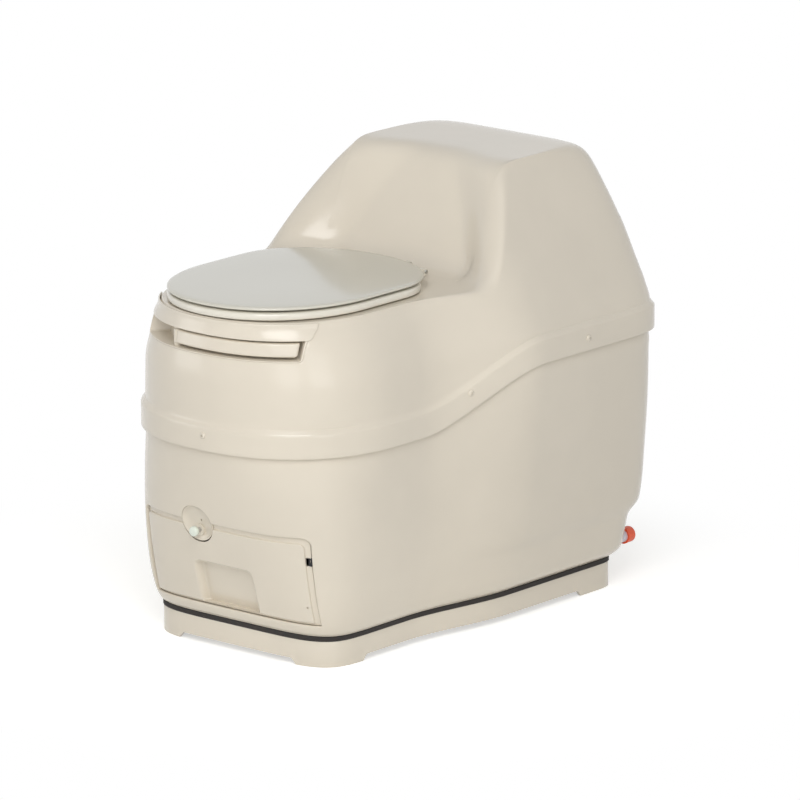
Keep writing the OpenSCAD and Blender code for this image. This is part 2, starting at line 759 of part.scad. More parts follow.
module drum_screen() {
    color([0.7, 0.71, 0.72])
    translate([0, 0, drum_z])
    difference() {
        turned([[88, drum_y1 - 5], [drum_rear_r - drum_wall - 2, drum_y1 - 5],
            [drum_rear_r - drum_wall - 2, drum_y1 - 4], [88, drum_y1 - 4]]);
        for (a = [0:30:330])
            rotate([0, a, 0])
                for (k = [0:5])
                    translate([drum_rear_r - 40 + 9 * cos(60 * k), 0, 9 * sin(60 * k)])
                        along_y(drum_y1 - 6, drum_y1 - 3, 3);
    }
}

module drum_screws() {
    color([0.72, 0.73, 0.75])
    translate([0, 0, drum_z])
        for (a = [30:60:330])
            rotate([0, a, 0])
                translate([drum_front_r + 5, 0, 0]) {
                    along_y(drum_joint_y - 4, drum_joint_y + 4, screw_r);
                    along_y(drum_joint_y - 6.5, drum_joint_y - 4, 3.8);
                }
}

module drum_axle_front() {
    color([0.72, 0.73, 0.75])
    translate([0, 0, drum_z]) {
        along_y(drum_y0 - 4, drum_y0, 32);
        along_y(bearing_y0 + 2, drum_y0 + 4, axle_r);
    }
}

rear_plate_y = 337;
module drum_axle_rear() {
    color([0.72, 0.73, 0.75])
    translate([0, 0, drum_z]) {
        along_y(drum_y1, drum_y1 + 4, 32);
        along_y(drum_y1 - 4, 360, axle_r);
    }
}

// inlet door, drawn hanging open
door_r = drum_front_r - drum_wall - 3;
door_pin_r = 2;
door_pin = polar(door_r - 3.4, 90 + 27.8);
door_open = 102;
module drum_door() {
    color([0.82, 0.81, 0.77])
    translate([door_pin[0], 0, drum_z + door_pin[1]])
        rotate([0, door_open, 0])
            translate([-door_pin[0], 0, -door_pin[1]])
                difference() {
                    union() {
                        plate_y(port_y0 - 3, port_y1 + 3)
                            door_arc();
                        translate([door_pin[0], 0, door_pin[1]])
                            along_y(port_y0 + 6, port_y1 - 6, 3.6);
                    }
                    translate([door_pin[0], 0, door_pin[1]])
                        along_y(port_y0 - 10, port_y1 + 10, door_pin_r + run_gap);
                    for (y = [port_y0 - 4, port_y1 - 6])
                        translate([door_pin[0] - 6, y, door_pin[1] - 6])
                            cube([11, 10, 14]);
                }
}

module door_arc() {
    polygon(concat(
        [for (a = [64.8:4:116.8]) polar(door_r, a)],
        [for (a = [116.8:-4:64.8]) polar(door_r - 2.5, a)]));
}

module drum_door_pin() {
    color([0.72, 0.73, 0.75])
    translate([door_pin[0], 0, drum_z + door_pin[1]]) {
        along_y(port_y0 - 3, port_y1 + 3, door_pin_r);
        for (y = [port_y0 - 3.5, port_y1 - 5.5])
            rotate([0, -27.8, 0])
                translate([-3, y, -2.5])
                    cube([6, 9, 9]);
    }
}

/* bearings */

module front_bearing() {
    color([0.72, 0.6, 0.35])
    translate([0, 0, drum_z])
    difference() {
        union() {
            along_y(bearing_y0, boss_y1, bush_r);
            along_y(boss_y1, boss_y1 + 3, bush_r + 6);
        }
        along_y(bearing_y0 - 1, boss_y1 + 4, axle_r + run_gap);
    }
}

module rear_frame() {
    color([0.55, 0.56, 0.58])
    difference() {
        union() {
            plate_y(rear_plate_y, rear_plate_y + 5)
                polygon([[-95, floor_z], [95, floor_z], [70, floor_z + 40], [36, drum_z - 30], [30, drum_z + 34],
                    [-30, drum_z + 34], [-36, drum_z - 30], [-70, floor_z + 40]]);
            translate([-95, rear_plate_y - 42, floor_z])
                cube([190, 44, 4]);
            for (x = [-60, 56])
                translate([x, 0, 0])
                    rotate([90, 0, 90])
                        linear_extrude(height = 4)
                            polygon([[rear_plate_y - 40, floor_z + 3], [rear_plate_y + 1, floor_z + 3],
                                [rear_plate_y + 1, floor_z + 70]]);
        }
        translate([0, 0, drum_z])
            along_y(rear_plate_y - 1, rear_plate_y + 6, bush_r);
    }
}

module rear_bearing() {
    color([0.72, 0.6, 0.35])
    translate([0, 0, drum_z])
    difference() {
        union() {
            along_y(rear_plate_y, rear_plate_y + 24, bush_r);
            along_y(rear_plate_y + 5, rear_plate_y + 9, bush_r + 8);
        }
        along_y(rear_plate_y - 1, rear_plate_y + 25, axle_r + run_gap);
    }
}

/* lock */

lock_rod_r = 4;
lock_guide_r = 9;
lock_rod_y1 = drum_y0 - 1;
dish_y = skin_y(false, dish_x, dish_z, 0);
module lock_dish() {
    color([0.85, 0.81, 0.74])
    difference() {
        union() {
            translate([dish_x, dish_y, dish_z])
                rotate([90 + dish_tilt, 0, 0])
                    translate([0, 0, -dish_sink])
                        rotate_extrude($fn = 96)
                            polygon([[0, -8], [14, -7.5], [24, -4.5], [28, -1], [29, 0.2], [dish_r, 0], [dish_r, -5],
                                [26, -9], [15, -12], [0, -12]]);
            translate([lock_x, 0, lock_z])
                along_y(dish_y + 9, dish_y + 34, lock_guide_r);
        }
        translate([lock_x, 0, lock_z])
            along_y(dish_y - 20, dish_y + 40, lock_rod_r + run_gap);
        translate([dish_x + 2, 0, dish_z + 4])
            along_y(dish_y - 2, dish_y + 30, 1.6);
    }
}

knob_y1 = dish_y + 2.2;
module lock_knob() {
    color([0.88, 0.92, 0.87])
    translate([lock_x, 0, lock_z])
    difference() {
        turned([[0, knob_y1 - 11], [5.5, knob_y1 - 10.5], [7.6, knob_y1 - 8], [8.2, knob_y1 - 5],
            [7, knob_y1 - 2], [5, knob_y1], [0, knob_y1]]);
        along_y(knob_y1 - 6, knob_y1 + 1, lock_rod_r);
    }
}

spring_y0 = dish_y + 36;
spring_y1 = drum_y0 - 8;
module lock_rod() {
    color([0.72, 0.73, 0.75])
    translate([lock_x, 0, lock_z]) {
        along_y(knob_y1 - 6, lock_rod_y1, lock_rod_r);
        along_y(spring_y1, spring_y1 + 2, 8);
    }
}

spring_turns = 5;
spring_step = 14;
spring_r = 6;
wire_r = 0.8;
module lock_spring() {
    n = spring_turns * spring_step;
    color([0.7, 0.71, 0.73])
    translate([lock_x, 0, lock_z])
        rotate([-90, 0, 0])
            solid_loft([for (k = [0:n])
                let(a = 360 * k / spring_step, h = mix(spring_y0 - 1, spring_y1 - 1.2, k / n))
                [for (i = [0:5]) let(b = -60 * i, r = spring_r + wire_r * cos(b))
                    [r * cos(a), r * sin(a), h + wire_r * sin(b)]]]);
}

/* drawer */

panel_half = drawer_half_w - drawer_margin;
panel_z0 = drawer_z0 + 4;
panel_z1 = drawer_z1 - drawer_margin;
flange_half = drawer_half_w - drawer_gap;
pull_half = 59;
pull_z0 = 66;
pull_z1 = 143;
function soft_rows(z0, z1, w, c) =
    [[z0, -w, w], [z1 - c, -w, w], [z1 - c * 0.4, -w + c * 0.16, w - c * 0.16], [z1, -w + c, w - c]];
module drawer_front() {
    color([0.86, 0.82, 0.75])
    difference() {
        union() {
            nose_patch(false, soft_rows(panel_z0, panel_z1, panel_half, 10), -8, -1.2);
            nose_patch(false, soft_rows(drawer_z0 + drawer_gap, drawer_z1 - drawer_gap, flange_half, corner_cut),
                -8.5, -5);
            nose_patch(false, [[drawer_z0 + 1, -pull_half - 7, pull_half + 7], [110, -pull_half - 7, pull_half + 7],
                [pull_z1 + 7, -pull_half - 5, pull_half + 5]], -18, -5);
        }
        nose_patch(false, [[pull_z0, -pull_half, pull_half], [pull_z1 - 12, -pull_half + 2, pull_half - 2],
            [pull_z1 - 4, -pull_half + 4, pull_half - 4], [pull_z1, -pull_half + 12, pull_half - 12]], -15, 12);
        translate([dish_x, -300, dish_z])
            along_y(-90, 20, dish_r + drawer_gap);
        translate([latch_x - latch_w / 2, -380, latch_z - latch_h / 2])
            cube([latch_w, 80, latch_h]);
        drawer_screw_holes();
    }
}

latch_face_y = 74 - flange_reach;
module drawer_latch() {
    color([0.06, 0.06, 0.07])
    difference() {
        union() {
            translate([latch_x - latch_w / 2, latch_face_y, latch_z - latch_h / 2])
                cube([latch_w, 18, latch_h]);
            translate([latch_x - 6, latch_face_y + 7, latch_z - latch_h / 2 - 4])
                cube([11, 11, latch_h + 8]);
        }
        translate([latch_x - 0.8, latch_face_y - 1, latch_z - 3])
            cube([1.6, 4, 6]);
    }
}

tray_half = 148;
tray_y0 = drum_y0;
tray_y1 = 40;
tray_z0 = drawer_z0 + 1;
tray_z1 = 150;
tray_t = 3;
module drawer_tray() {
    color([0.82, 0.79, 0.72])
    difference() {
        union() {
            translate([-tray_half, tray_y0, tray_z0])
                cube([2 * tray_half, tray_y1 - tray_y0, tray_z1 - tray_z0]);
            for (x = [-tray_half + 2, -85, 79, tray_half - 8])
                drawer_rib(x);
        }
        translate([-tray_half + tray_t, tray_y0 + tray_t, tray_z0 + tray_t])
            cube([2 * (tray_half - tray_t), tray_y1 - tray_y0 - 2 * tray_t, tray_z1 - tray_z0]);
        drawer_screw_holes();
    }
}

function rib_front(x, z) = skin_y(false, x, z, -8.5) - weld;
module drawer_rib(x) {
    xm = max(abs(x), abs(x + 6));
    translate([x, 0, 0])
        rotate([90, 0, 90])
            linear_extrude(height = 6)
                polygon([[rib_front(xm, tray_z0 + 9), tray_z0 + 9], [tray_y0 + 1, tray_z0 + 1],
                    [tray_y0 + 1, tray_z1 - 2], [rib_front(xm, tray_z1 - 6), tray_z1 - 6]]);
}

module drawer_screw_holes() {
    for (x = [-tray_half + 5, tray_half - 5])
        translate([x, -345, 110])
            along_y(-10, 36, 1.5);
}

module drawer_screws() {
    color([0.72, 0.73, 0.75])
    for (x = [-tray_half + 5, tray_half - 5])
        translate([x, 0, 110])
            along_y(skin_y(false, x, 110, -8) + 1, -311, 1.5);
}

runner_gap = 0.3;
module drawer_runners() {
    color([0.6, 0.61, 0.63])
    for (m = [0, 1])
        mirror([m, 0, 0]) {
            translate([tray_half - 12, -290, tray_z0 - runner_gap - 4])
                cube([22, 330, 4]);
            translate([tray_half + 5, -290, tray_z0 - runner_gap - 0.5])
                cube([5, 330, 26]);
            for (y = [-285, -130, 20])
                translate([tray_half - 8, y, floor_z])
                    cube([14, 14, tray_z0 - runner_gap - 4 - floor_z + 0.5]);
        }
}

/* liner, seat and lid */

liner_t = 2;
port_o = [56, nose_y, 76, 2.3, 56, -140, 68, 2.4];
liner_z0 = drum_z + drum_front_r + 9;
module bowl_liner() {
    color([0.9, 0.88, 0.83])
    loop_loft(reversed([
        ring(grow(port_o, -liner_t), liner_z0), ring(port_o, liner_z0), ring(grow(hole_o, -22), deck_h - 20),
        ring(grow(hole_o, -3.8), deck_h - 12), ring(grow(hole_o, -3.8), deck_h + 0.02),
        ring(grow(hole_o, 5), deck_h + 0.02), ring(grow(hole_o, 5), deck_h + 1.5),
        ring(grow(hole_o, -5.8), deck_h + 1.5), ring(grow(hole_o, -5.8), deck_h - 11),
        ring(grow(hole_o, -24), deck_h - 18)]));
}

seat_y = -198;
seat_tail_y = -112;
seat_tail_w = seat_half_w - 5;
seat_o = [seat_half_w, seat_y, seat_front + seat_y, 2.1, seat_tail_w, seat_tail_y, -seat_tail_y, 2.35];
lid_o = [seat_half_w, seat_y, seat_front + seat_y, 2.1, seat_tail_w, seat_tail_y, 6 - seat_tail_y, 2.35];
seat_hole_o = [seat_hole_w, nose_y, seat_hole_y, 2.2, seat_hole_w - 4, -150, 66, 2.3];
seat_z0 = deck_h + bumper_t;
seat_z1 = seat_z0 + seat_t;
lid_arm_y = -14;
lid_z0 = seat_z1 + bumper_t;
hinge_z = seat_z0 + 7.5;
lug_r = 5.4;

module hinge_bore() {
    translate([0, hinge_y, hinge_z])
        along_x(-120, 120, hinge_pin_r + run_gap);
}

// a hinge lug from a body edge to the pin, between two sideways positions
module lug(x0, x1, y0, z0, z1) {
    for (m = [0, 1])
        mirror([m, 0, 0]) {
            translate([0, hinge_y, hinge_z])
                along_x(x0, x1, lug_r);
            translate([x0, y0, z0])
                cube([x1 - x0, hinge_y - y0, z1 - z0]);
        }
}

module seat_ring() {
    color([0.9, 0.88, 0.83])
    difference() {
        union() {
            loop_loft(reversed([
                ring(grow(seat_hole_o, 3), seat_z0), ring(grow(seat_o, -3), seat_z0), ring(seat_o, seat_z0 + 2),
                ring(seat_o, seat_z1 - 3), ring(grow(seat_o, -4), seat_z1 - 0.5), ring(grow(seat_o, -14), seat_z1),
                ring(grow(seat_hole_o, 8), seat_z1), ring(grow(seat_hole_o, 1), seat_z1 - 3),
                ring(seat_hole_o, seat_z0 + 3)]));
            lug(85, 97, -45, seat_z0 + 2.2, seat_z0 + 9);
        }
        hinge_bore();
    }
}

module seat_bumpers() {
    color([0.3, 0.3, 0.31])
    for (p = [[-130, -260], [130, -260], [-126, -70], [126, -70]])
        translate([p[0], p[1], deck_h])
            cylinder(r = 8, h = bumper_t, $fn = 40);
}

module seat_lid() {
    color([0.78, 0.77, 0.72])
    difference() {
        union() {
            solid_loft([
                ring(grow(lid_o, -4), lid_z0), ring(lid_o, lid_z0 + 1.6), ring(lid_o, lid_z0 + 4),
                ring(grow(lid_o, -2.5), lid_z0 + 6), ring(grow(lid_o, -12), lid_z0 + 7.2),
                ring(grow(lid_o, -60), lid_z0 + 8.6), ring(grow(lid_o, -88), lid_z0 + 8.8)]);
            lug(55, 65, hinge_y - lug_r, hinge_z, lid_z0 + 1);
            for (m = [0, 1])
                mirror([m, 0, 0]) {
                    translate([55, hinge_y - 1, hinge_z])
                        cube([10, lug_r + 1, lid_z0 + 1 - hinge_z]);
                    translate([55, lid_arm_y, lid_z0 + 0.5])
                        cube([10, hinge_y + lug_r - lid_arm_y, 3.3]);
                }
        }
        hinge_bore();
    }
}

module lid_bumpers() {
    color([0.3, 0.3, 0.31])
    for (p = [[-140, -200], [140, -200], [-60, -338], [60, -338]])
        translate([p[0], p[1], seat_z1])
            cylinder(r = 7, h = bumper_t, $fn = 40);
}

module hinge_posts() {
    color([0.88, 0.86, 0.8])
    for (x = [-post_x, post_x])
        translate([x, hinge_y, 0])
        difference() {
            union() {
                translate([-7, -8, deck_h])
                    cube([14, 16, 4]);
                translate([-7, -4.5, deck_h + 3])
                    cube([14, 9, hinge_z - deck_h - 3]);
                translate([0, 0, hinge_z])
                    along_x(-7, 7, 5);
                translate([0, 0, deck_h - 24])
                    cylinder(r = post_r, h = 25, $fn = 32);
            }
            translate([0, 0, hinge_z])
                along_x(-8, 8, hinge_pin_r);
        }
}

module hinge_pins() {
    color([0.75, 0.76, 0.77])
    for (m = [0, 1])
        mirror([m, 0, 0])
            translate([0, hinge_y, hinge_z])
                along_x(53, 99, hinge_pin_r);
}

module hinge_nuts() {
    color([0.5, 0.5, 0.51])
    for (x = [-post_x, post_x])
        translate([x, hinge_y, deck_h - wall - 8])
        difference() {
            cylinder(r = 9, h = 8, $fn = 6);
            translate([0, 0, -1])
                cylinder(r = post_r, h = 10, $fn = 32);
        }
}

/* services */

stub_y0 = flange_reach - 68;
stub_y1 = flange_reach - 20;
module drain_stub() {
    color([0.86, 0.84, 0.9])
    translate([drain_x, 0, drain_z])
    difference() {
        along_y(stub_y0, stub_y1, drain_r);
        along_y(stub_y0 - 1, stub_y1 + 1, drain_r - 2.5);
    }
}

module drain_nut() {
    color([0.86, 0.84, 0.9])
    translate([drain_x, 0, drain_z])
        rotate([-90, 0, 0])
            difference() {
                translate([0, 0, stub_y0 + 2])
                    cylinder(r = 13.5, h = 6, $fn = 6);
                translate([0, 0, stub_y0])
                    cylinder(r = drain_r, h = 12, $fn = 96);
            }
}

cap_y0 = stub_y1 - 3;
cap_y1 = stub_y1 + 16;
module drain_cap() {
    color([0.93, 0.36, 0.2])
    translate([drain_x, 0, drain_z])
    difference() {
        turned([[0, cap_y0], [drain_r + 3.2, cap_y0], [drain_r + 3.2, cap_y1 - 2], [drain_r + 1.6, cap_y1],
            [0, cap_y1]]);
        along_y(cap_y0 - 1, stub_y1 + 0.3, drain_r + run_gap);
    }
}

collar_y1 = flange_reach + 3;
collar_flange_r = vent_boss_r + 5;
hose_end_y = vent_boss_y1 + 1;
hose_stop = 2.3;
module vent_collar() {
    color([0.86, 0.82, 0.75])
    translate([0, 0, vent_z])
    difference() {
        union() {
            along_y(vent_boss_y0 - 4, vent_boss_y0, collar_flange_r);
            along_y(vent_boss_y0 - 1, collar_y1, vent_tube_r);
        }
        along_y(vent_boss_y0 - 5, hose_end_y + 1, vent_bore_r - hose_stop);
        along_y(hose_end_y, collar_y1 + 1, vent_bore_r);
    }
}

fan_y1 = vent_boss_y0 - 4;
fan_y0 = fan_y1 - 28;
fan_r = 50;
module fan_housing() {
    color([0.15, 0.15, 0.16])
    translate([0, 0, vent_z])
    difference() {
        union() {
            difference() {
                along_y(fan_y0, fan_y1, fan_r);
                along_y(fan_y0 - 1, fan_y1 + 1, fan_r - 3);
            }
            for (a = [45:90:315])
                rotate([0, a, 0])
                    translate([12, fan_y1 - 7, -2])
                        cube([fan_r - 14, 4, 4]);
            along_y(fan_y1 - 7, fan_y1 - 3, 17);
        }
        along_y(fan_y1 - 9, fan_y1 + 1, 3);
    }
}

module fan_motor() {
    color([0.25, 0.25, 0.27])
    translate([0, 0, vent_z])
    difference() {
        along_y(fan_y1 - 16, fan_y1 - 7, 15);
        along_y(fan_y1 - 17, fan_y1 - 9, 2.5 + run_gap);
    }
}

module fan_rotor() {
    color([0.2, 0.2, 0.22])
    translate([0, 0, vent_z]) {
        along_y(fan_y0 + 2, fan_y1 - 17, 16);
        along_y(fan_y1 - 18, fan_y1 - 10, 2.5);
        for (a = [0:360 / 7:359])
            rotate([0, a, 0])
                translate([14, fan_y0 + 6.5, 0])
                    rotate([32, 0, 0])
                        translate([0, -0.8, -8])
                            cube([30, 1.6, 16]);
    }
}

gland_y0 = flange_reach - 54;
cord_r = 3.6;
module cord_gland() {
    color([0.12, 0.12, 0.13])
    translate([gland_x, 0, gland_z])
    difference() {
        union() {
            along_y(gland_y0, gland_y0 + 36, gland_r);
            along_y(gland_y0 + 24, gland_y0 + 34, gland_r + 4);
            rotate([-90, 0, 0])
                translate([0, 0, gland_y0 + 5])
                    cylinder(r = gland_r + 5, h = 5, $fn = 6);
        }
        along_y(gland_y0 - 1, gland_y0 + 37, cord_r);
    }
}

base_tray();
base_gasket();
heater_plate();
heater_element();
thermostat();
base_cover();
lower_shell();
upper_shell();
shell_screws();
handle_housing();
handle_bracket();
handle_pin();
drive_bush();
bowl_liner();
front_bearing();
rear_frame();
rear_bearing();
lock_dish();
drawer_runners();
drawer_latch();
drain_stub();
drain_nut();
vent_collar();
fan_housing();
fan_motor();
cord_gland();
hinge_posts();
hinge_pins();
hinge_nuts();
drawer_front();
drawer_tray();
drawer_screws();
drum_front();
drum_rear();
drum_gear();
drum_axle_front();
drum_axle_rear();
drum_screen();
drum_screws();
drum_door_pin();
drum_door();
drive_shaft();
drive_pinion();
drum_handle();
lock_knob();
lock_rod();
lock_spring();
seat_ring();
seat_bumpers();
seat_lid();
lid_bumpers();
fan_rotor();
drain_cap();
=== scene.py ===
"""Visual model of a composting toilet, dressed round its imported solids.

The two moulded shells, the seat, the lid and the front panels are lofted from
the same outlines as the solids, with finer steps and rounded edges. The other
pieces are copies of their solids with eased edges. Lengths in the classes are
millimetres, and meshes are written in metres.
"""

import json
import logging
import math
from dataclasses import dataclass
from enum import Enum
from typing import Sequence

import bmesh
import bpy
import numpy as np
from mathutils import Matrix, Vector


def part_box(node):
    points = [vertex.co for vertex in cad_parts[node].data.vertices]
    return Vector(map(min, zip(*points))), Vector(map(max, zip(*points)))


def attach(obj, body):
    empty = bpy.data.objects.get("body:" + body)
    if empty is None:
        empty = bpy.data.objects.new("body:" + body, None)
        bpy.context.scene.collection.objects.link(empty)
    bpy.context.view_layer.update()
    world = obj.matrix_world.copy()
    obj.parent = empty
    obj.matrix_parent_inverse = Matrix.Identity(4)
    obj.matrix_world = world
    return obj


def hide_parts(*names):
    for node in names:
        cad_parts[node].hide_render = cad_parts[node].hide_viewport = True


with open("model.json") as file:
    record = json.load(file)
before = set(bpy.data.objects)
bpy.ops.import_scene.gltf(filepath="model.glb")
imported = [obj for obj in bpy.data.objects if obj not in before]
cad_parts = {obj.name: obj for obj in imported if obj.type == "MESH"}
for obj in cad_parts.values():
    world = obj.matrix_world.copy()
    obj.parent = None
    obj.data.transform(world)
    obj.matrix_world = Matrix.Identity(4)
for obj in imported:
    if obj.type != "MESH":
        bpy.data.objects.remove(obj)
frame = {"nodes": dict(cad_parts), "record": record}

LOG = logging.getLogger("toilet")
MM = 0.001
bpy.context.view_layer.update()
Obj = bpy.types.Object
Ring = np.ndarray
Spot = tuple[float, float]
Point = tuple[float, float, float]
Table = Sequence[Spot]


# ---- numbers


def smooth(t: np.ndarray | float) -> np.ndarray:
    """Returns the soft step of t between 0 and 1."""
    c = np.clip(t, 0.0, 1.0)
    return c * c * (3.0 - 2.0 * c)


def mix(a, b, t):
    """Returns the value a share t of the way from a to b."""
    return a + (b - a) * t


def soft_max(a: np.ndarray, b: np.ndarray, k: float) -> np.ndarray:
    """Returns the larger of a and b, blended over a width k."""
    h = np.maximum(0.0, k - np.abs(a - b)) / k
    return np.maximum(a, b) + h * h * k / 4.0


def soft_min(a: np.ndarray, b: np.ndarray, k: float) -> np.ndarray:
    """Returns the smaller of a and b, blended over a width k."""
    return -soft_max(-np.asarray(a), -np.asarray(b), k)


def station_curve(table: Table, at: np.ndarray | float) -> np.ndarray:
    """Reads a smooth curve through stations without overshoot.

    Args:
        table: Pairs of station and value, in rising order.
        at: Where the curve is read.

    Returns:
        The values there.
    """
    x, y = np.array(table, float).T
    span = np.diff(x)
    rise = np.diff(y) / span
    slope = np.zeros_like(y)
    a, b = rise[:-1], rise[1:]
    same = a * b > 0
    slope[1:-1] = np.where(same, 2 * a * b / np.where(same, a + b, 1.0), 0.0)
    slope[0], slope[-1] = rise[0], rise[-1]
    at = np.clip(at, x[0], x[-1])
    i = np.clip(np.searchsorted(x, at) - 1, 0, len(span) - 1)
    t = (at - x[i]) / span[i]
    t2, t3 = t * t, t * t * t
    return (
        (2 * t3 - 3 * t2 + 1) * y[i]
        + (t3 - 2 * t2 + t) * span[i] * slope[i]
        + (3 * t2 - 2 * t3) * y[i + 1]
        + (t3 - t2) * span[i] * slope[i + 1]
    )


def linear(srgb_hex: str) -> tuple[float, float, float, float]:
    """Turns an sRGB hex colour into the linear colour that a shader takes."""
    parts = [int(srgb_hex[i : i + 2], 16) / 255.0 for i in (1, 3, 5)]
    out = [c / 12.92 if c <= 0.04045 else ((c + 0.055) / 1.055) ** 2.4 for c in parts]
    return out[0], out[1], out[2], 1.0


# ---- finishes


def add_node(tree: bpy.types.NodeTree, kind: str, **inputs) -> bpy.types.Node:
    """Adds a node and sets its plain inputs and attributes.

    Args:
        tree: The node tree.
        kind: The node's type.
        **inputs: Socket values by name with _ for a space, socket links, or
            attributes of the node itself.

    Returns:
        The node.
    """
    node = tree.nodes.new(kind)
    for name, value in inputs.items():
        if hasattr(node, name):
            setattr(node, name, value)
            continue
        socket = node.inputs[int(name[1:])] if name[1:].isdigit() else node.inputs[name.replace("_", " ")]
        if isinstance(value, bpy.types.NodeSocket):
            tree.links.new(value, socket)
        else:
            socket.default_value = value
    return node


def cleared(owner: bpy.types.ID) -> bpy.types.NodeTree:
    """Returns the node tree of a material or a world, emptied."""
    owner.use_nodes = True
    owner.node_tree.nodes.clear()
    return owner.node_tree


@dataclass(frozen=True)
class Finish:
    """A moulded, rubber or metal surface with a faint unevenness.

    Attributes:
        name: The material's name.
        colour: Its sRGB colour.
        roughness: Gloss, from 0 for a mirror to 1 for chalk.
        metallic: 1 for bare metal.
        coat: Weight of the clear gloss over it.
        grain_mm: Size of the surface's unevenness.
        grain_depth: Strength of the bump that the unevenness makes.
        mottle: How far the colour drifts from place to place.
        stretch: Scale of the unevenness along each axis.
    """

    name: str
    colour: str
    roughness: float = 0.35
    metallic: float = 0.0
    coat: float = 0.0
    grain_mm: float = 4.0
    grain_depth: float = 0.02
    mottle: float = 0.02
    stretch: Point = (1.0, 1.0, 1.0)

    def material(self) -> bpy.types.Material:
        """Builds the material once and returns it."""
        found = bpy.data.materials.get(self.name)
        if found:
            return found
        made = bpy.data.materials.new(self.name)
        tree = cleared(made)
        place = add_node(tree, "ShaderNodeTexCoord")
        lie = add_node(tree, "ShaderNodeMapping", Vector=place.outputs["Object"], Scale=self.stretch)
        drift = add_node(tree, "ShaderNodeTexNoise", Vector=lie.outputs["Vector"], Scale=6.0, Detail=3.0)
        grain = add_node(
            tree, "ShaderNodeTexNoise", Vector=lie.outputs["Vector"], Scale=1.0 / (self.grain_mm * MM),
            Detail=2.0
        )
        base = linear(self.colour)
        ramp = add_node(tree, "ShaderNodeValToRGB", Fac=drift.outputs["Fac"])
        low, high = ramp.color_ramp.elements
        for stop, share, at in ((low, 1.0 - self.mottle, 0.35), (high, 1.0 + self.mottle, 0.65)):
            stop.color = (base[0] * share, base[1] * share, base[2] * share, 1.0)
            stop.position = at
        bump = add_node(
            tree, "ShaderNodeBump", Height=grain.outputs["Fac"], Strength=self.grain_depth, Distance=0.2 * MM
        )
        shader = add_node(
            tree, "ShaderNodeBsdfPrincipled", Base_Color=ramp.outputs["Color"], Normal=bump.outputs["Normal"],
            Roughness=self.roughness, Metallic=self.metallic, Coat_Weight=self.coat, Coat_Roughness=0.08,
        )  # fmt: skip
        add_node(tree, "ShaderNodeOutputMaterial", Surface=shader.outputs["BSDF"])
        return made


class Slot(Enum):
    """The record's material slots and the finish of each."""

    SHELL = (
        "shell_plastic",
        Finish("cream_shell", "#DDD4C4", 0.22, coat=0.25, grain_mm=9.0, grain_depth=0.03),
    )
    SEAT = ("seat_plastic", Finish("cream_seat", "#E2DDD0", 0.16, coat=0.35, grain_mm=12.0, mottle=0.01))
    LID = ("lid_plastic", Finish("grey_cream_lid", "#CFCCBF", 0.16, coat=0.35, grain_mm=12.0, mottle=0.01))
    TRAY = ("tray_plastic", Finish("cream_tray", "#D6CDBC", 0.38, grain_mm=1.5, grain_depth=0.05))
    DRUM = ("drum_plastic", Finish("drum_grey", "#C9C5BA", 0.42, grain_mm=1.5, grain_depth=0.06))
    GEAR = ("gear_plastic", Finish("gear_white", "#E4E2DA", 0.36, grain_mm=1.0, grain_depth=0.03))
    KNOB = ("knob_plastic", Finish("knob_pale_green", "#DFE6DA", 0.2, coat=0.3))
    BLACK = ("black_plastic", Finish("black_plastic", "#1B1B1C", 0.42, grain_mm=0.8, grain_depth=0.08))
    RUBBER = ("rubber", Finish("gasket_foam", "#2C2826", 0.82, grain_mm=1.2, grain_depth=0.5, mottle=0.12))
    BUMPER = ("grey_rubber", Finish("bumper_rubber", "#5A5A58", 0.7, grain_mm=0.8, grain_depth=0.2))
    CAP = ("cap_plastic", Finish("cap_orange", "#F0603A", 0.45, grain_mm=1.2, grain_depth=0.05))
    STUB = ("stub_plastic", Finish("stub_white", "#DCD8E2", 0.28, coat=0.2))
    STEEL = (
        "stainless",
        Finish(
            "stainless_steel", "#BDBDBB", 0.28, 1.0, grain_mm=0.6, grain_depth=0.12, stretch=(1.0, 0.06, 1.0)
        ),
    )
    PAINTED = ("painted_steel", Finish("grey_powder_coat", "#8D9092", 0.55, grain_mm=0.7, grain_depth=0.25))
    ZINC = (
        "galvanised",
        Finish("zinc_sheet", "#A9ABAC", 0.5, 0.8, grain_mm=7.0, grain_depth=0.1, mottle=0.12),
    )
    BRONZE = (
        "bronze",
        Finish("sintered_bronze", "#B08A4E", 0.45, metallic=1.0, grain_mm=0.5, grain_depth=0.2),
    )

    @property
    def key(self) -> str:
        """The slot's name in the record."""
        return self.value[0]

    @property
    def finish(self) -> Finish:
        """The finish of the slot."""
        return self.value[1]

    @classmethod
    def named(cls, key: str) -> "Slot":
        """Returns the slot with that name in the record."""
        return next(s for s in cls if s.key == key)


NODE_SLOTS: dict[str, str] = {p["node"]: p["material_slot"] for p in frame["record"]["subparts"]}
NODE_BODIES: dict[str, str] = {n: b for b, ns in frame["record"]["behaviour"]["bodies"].items() for n in ns}


# ---- meshes


def new_mesh(name: str, points: np.ndarray, faces: Sequence[Sequence[int]]) -> Obj:
    """Makes an object from points in millimetres and lists of corners."""
    mesh = bpy.data.meshes.new(name)
    mesh.from_pydata((np.asarray(points, float) * MM).tolist(), [], [list(f) for f in faces])
    mesh.validate()
    made = bpy.data.objects.new(name, mesh)
    bpy.context.scene.collection.objects.link(made)
    return made


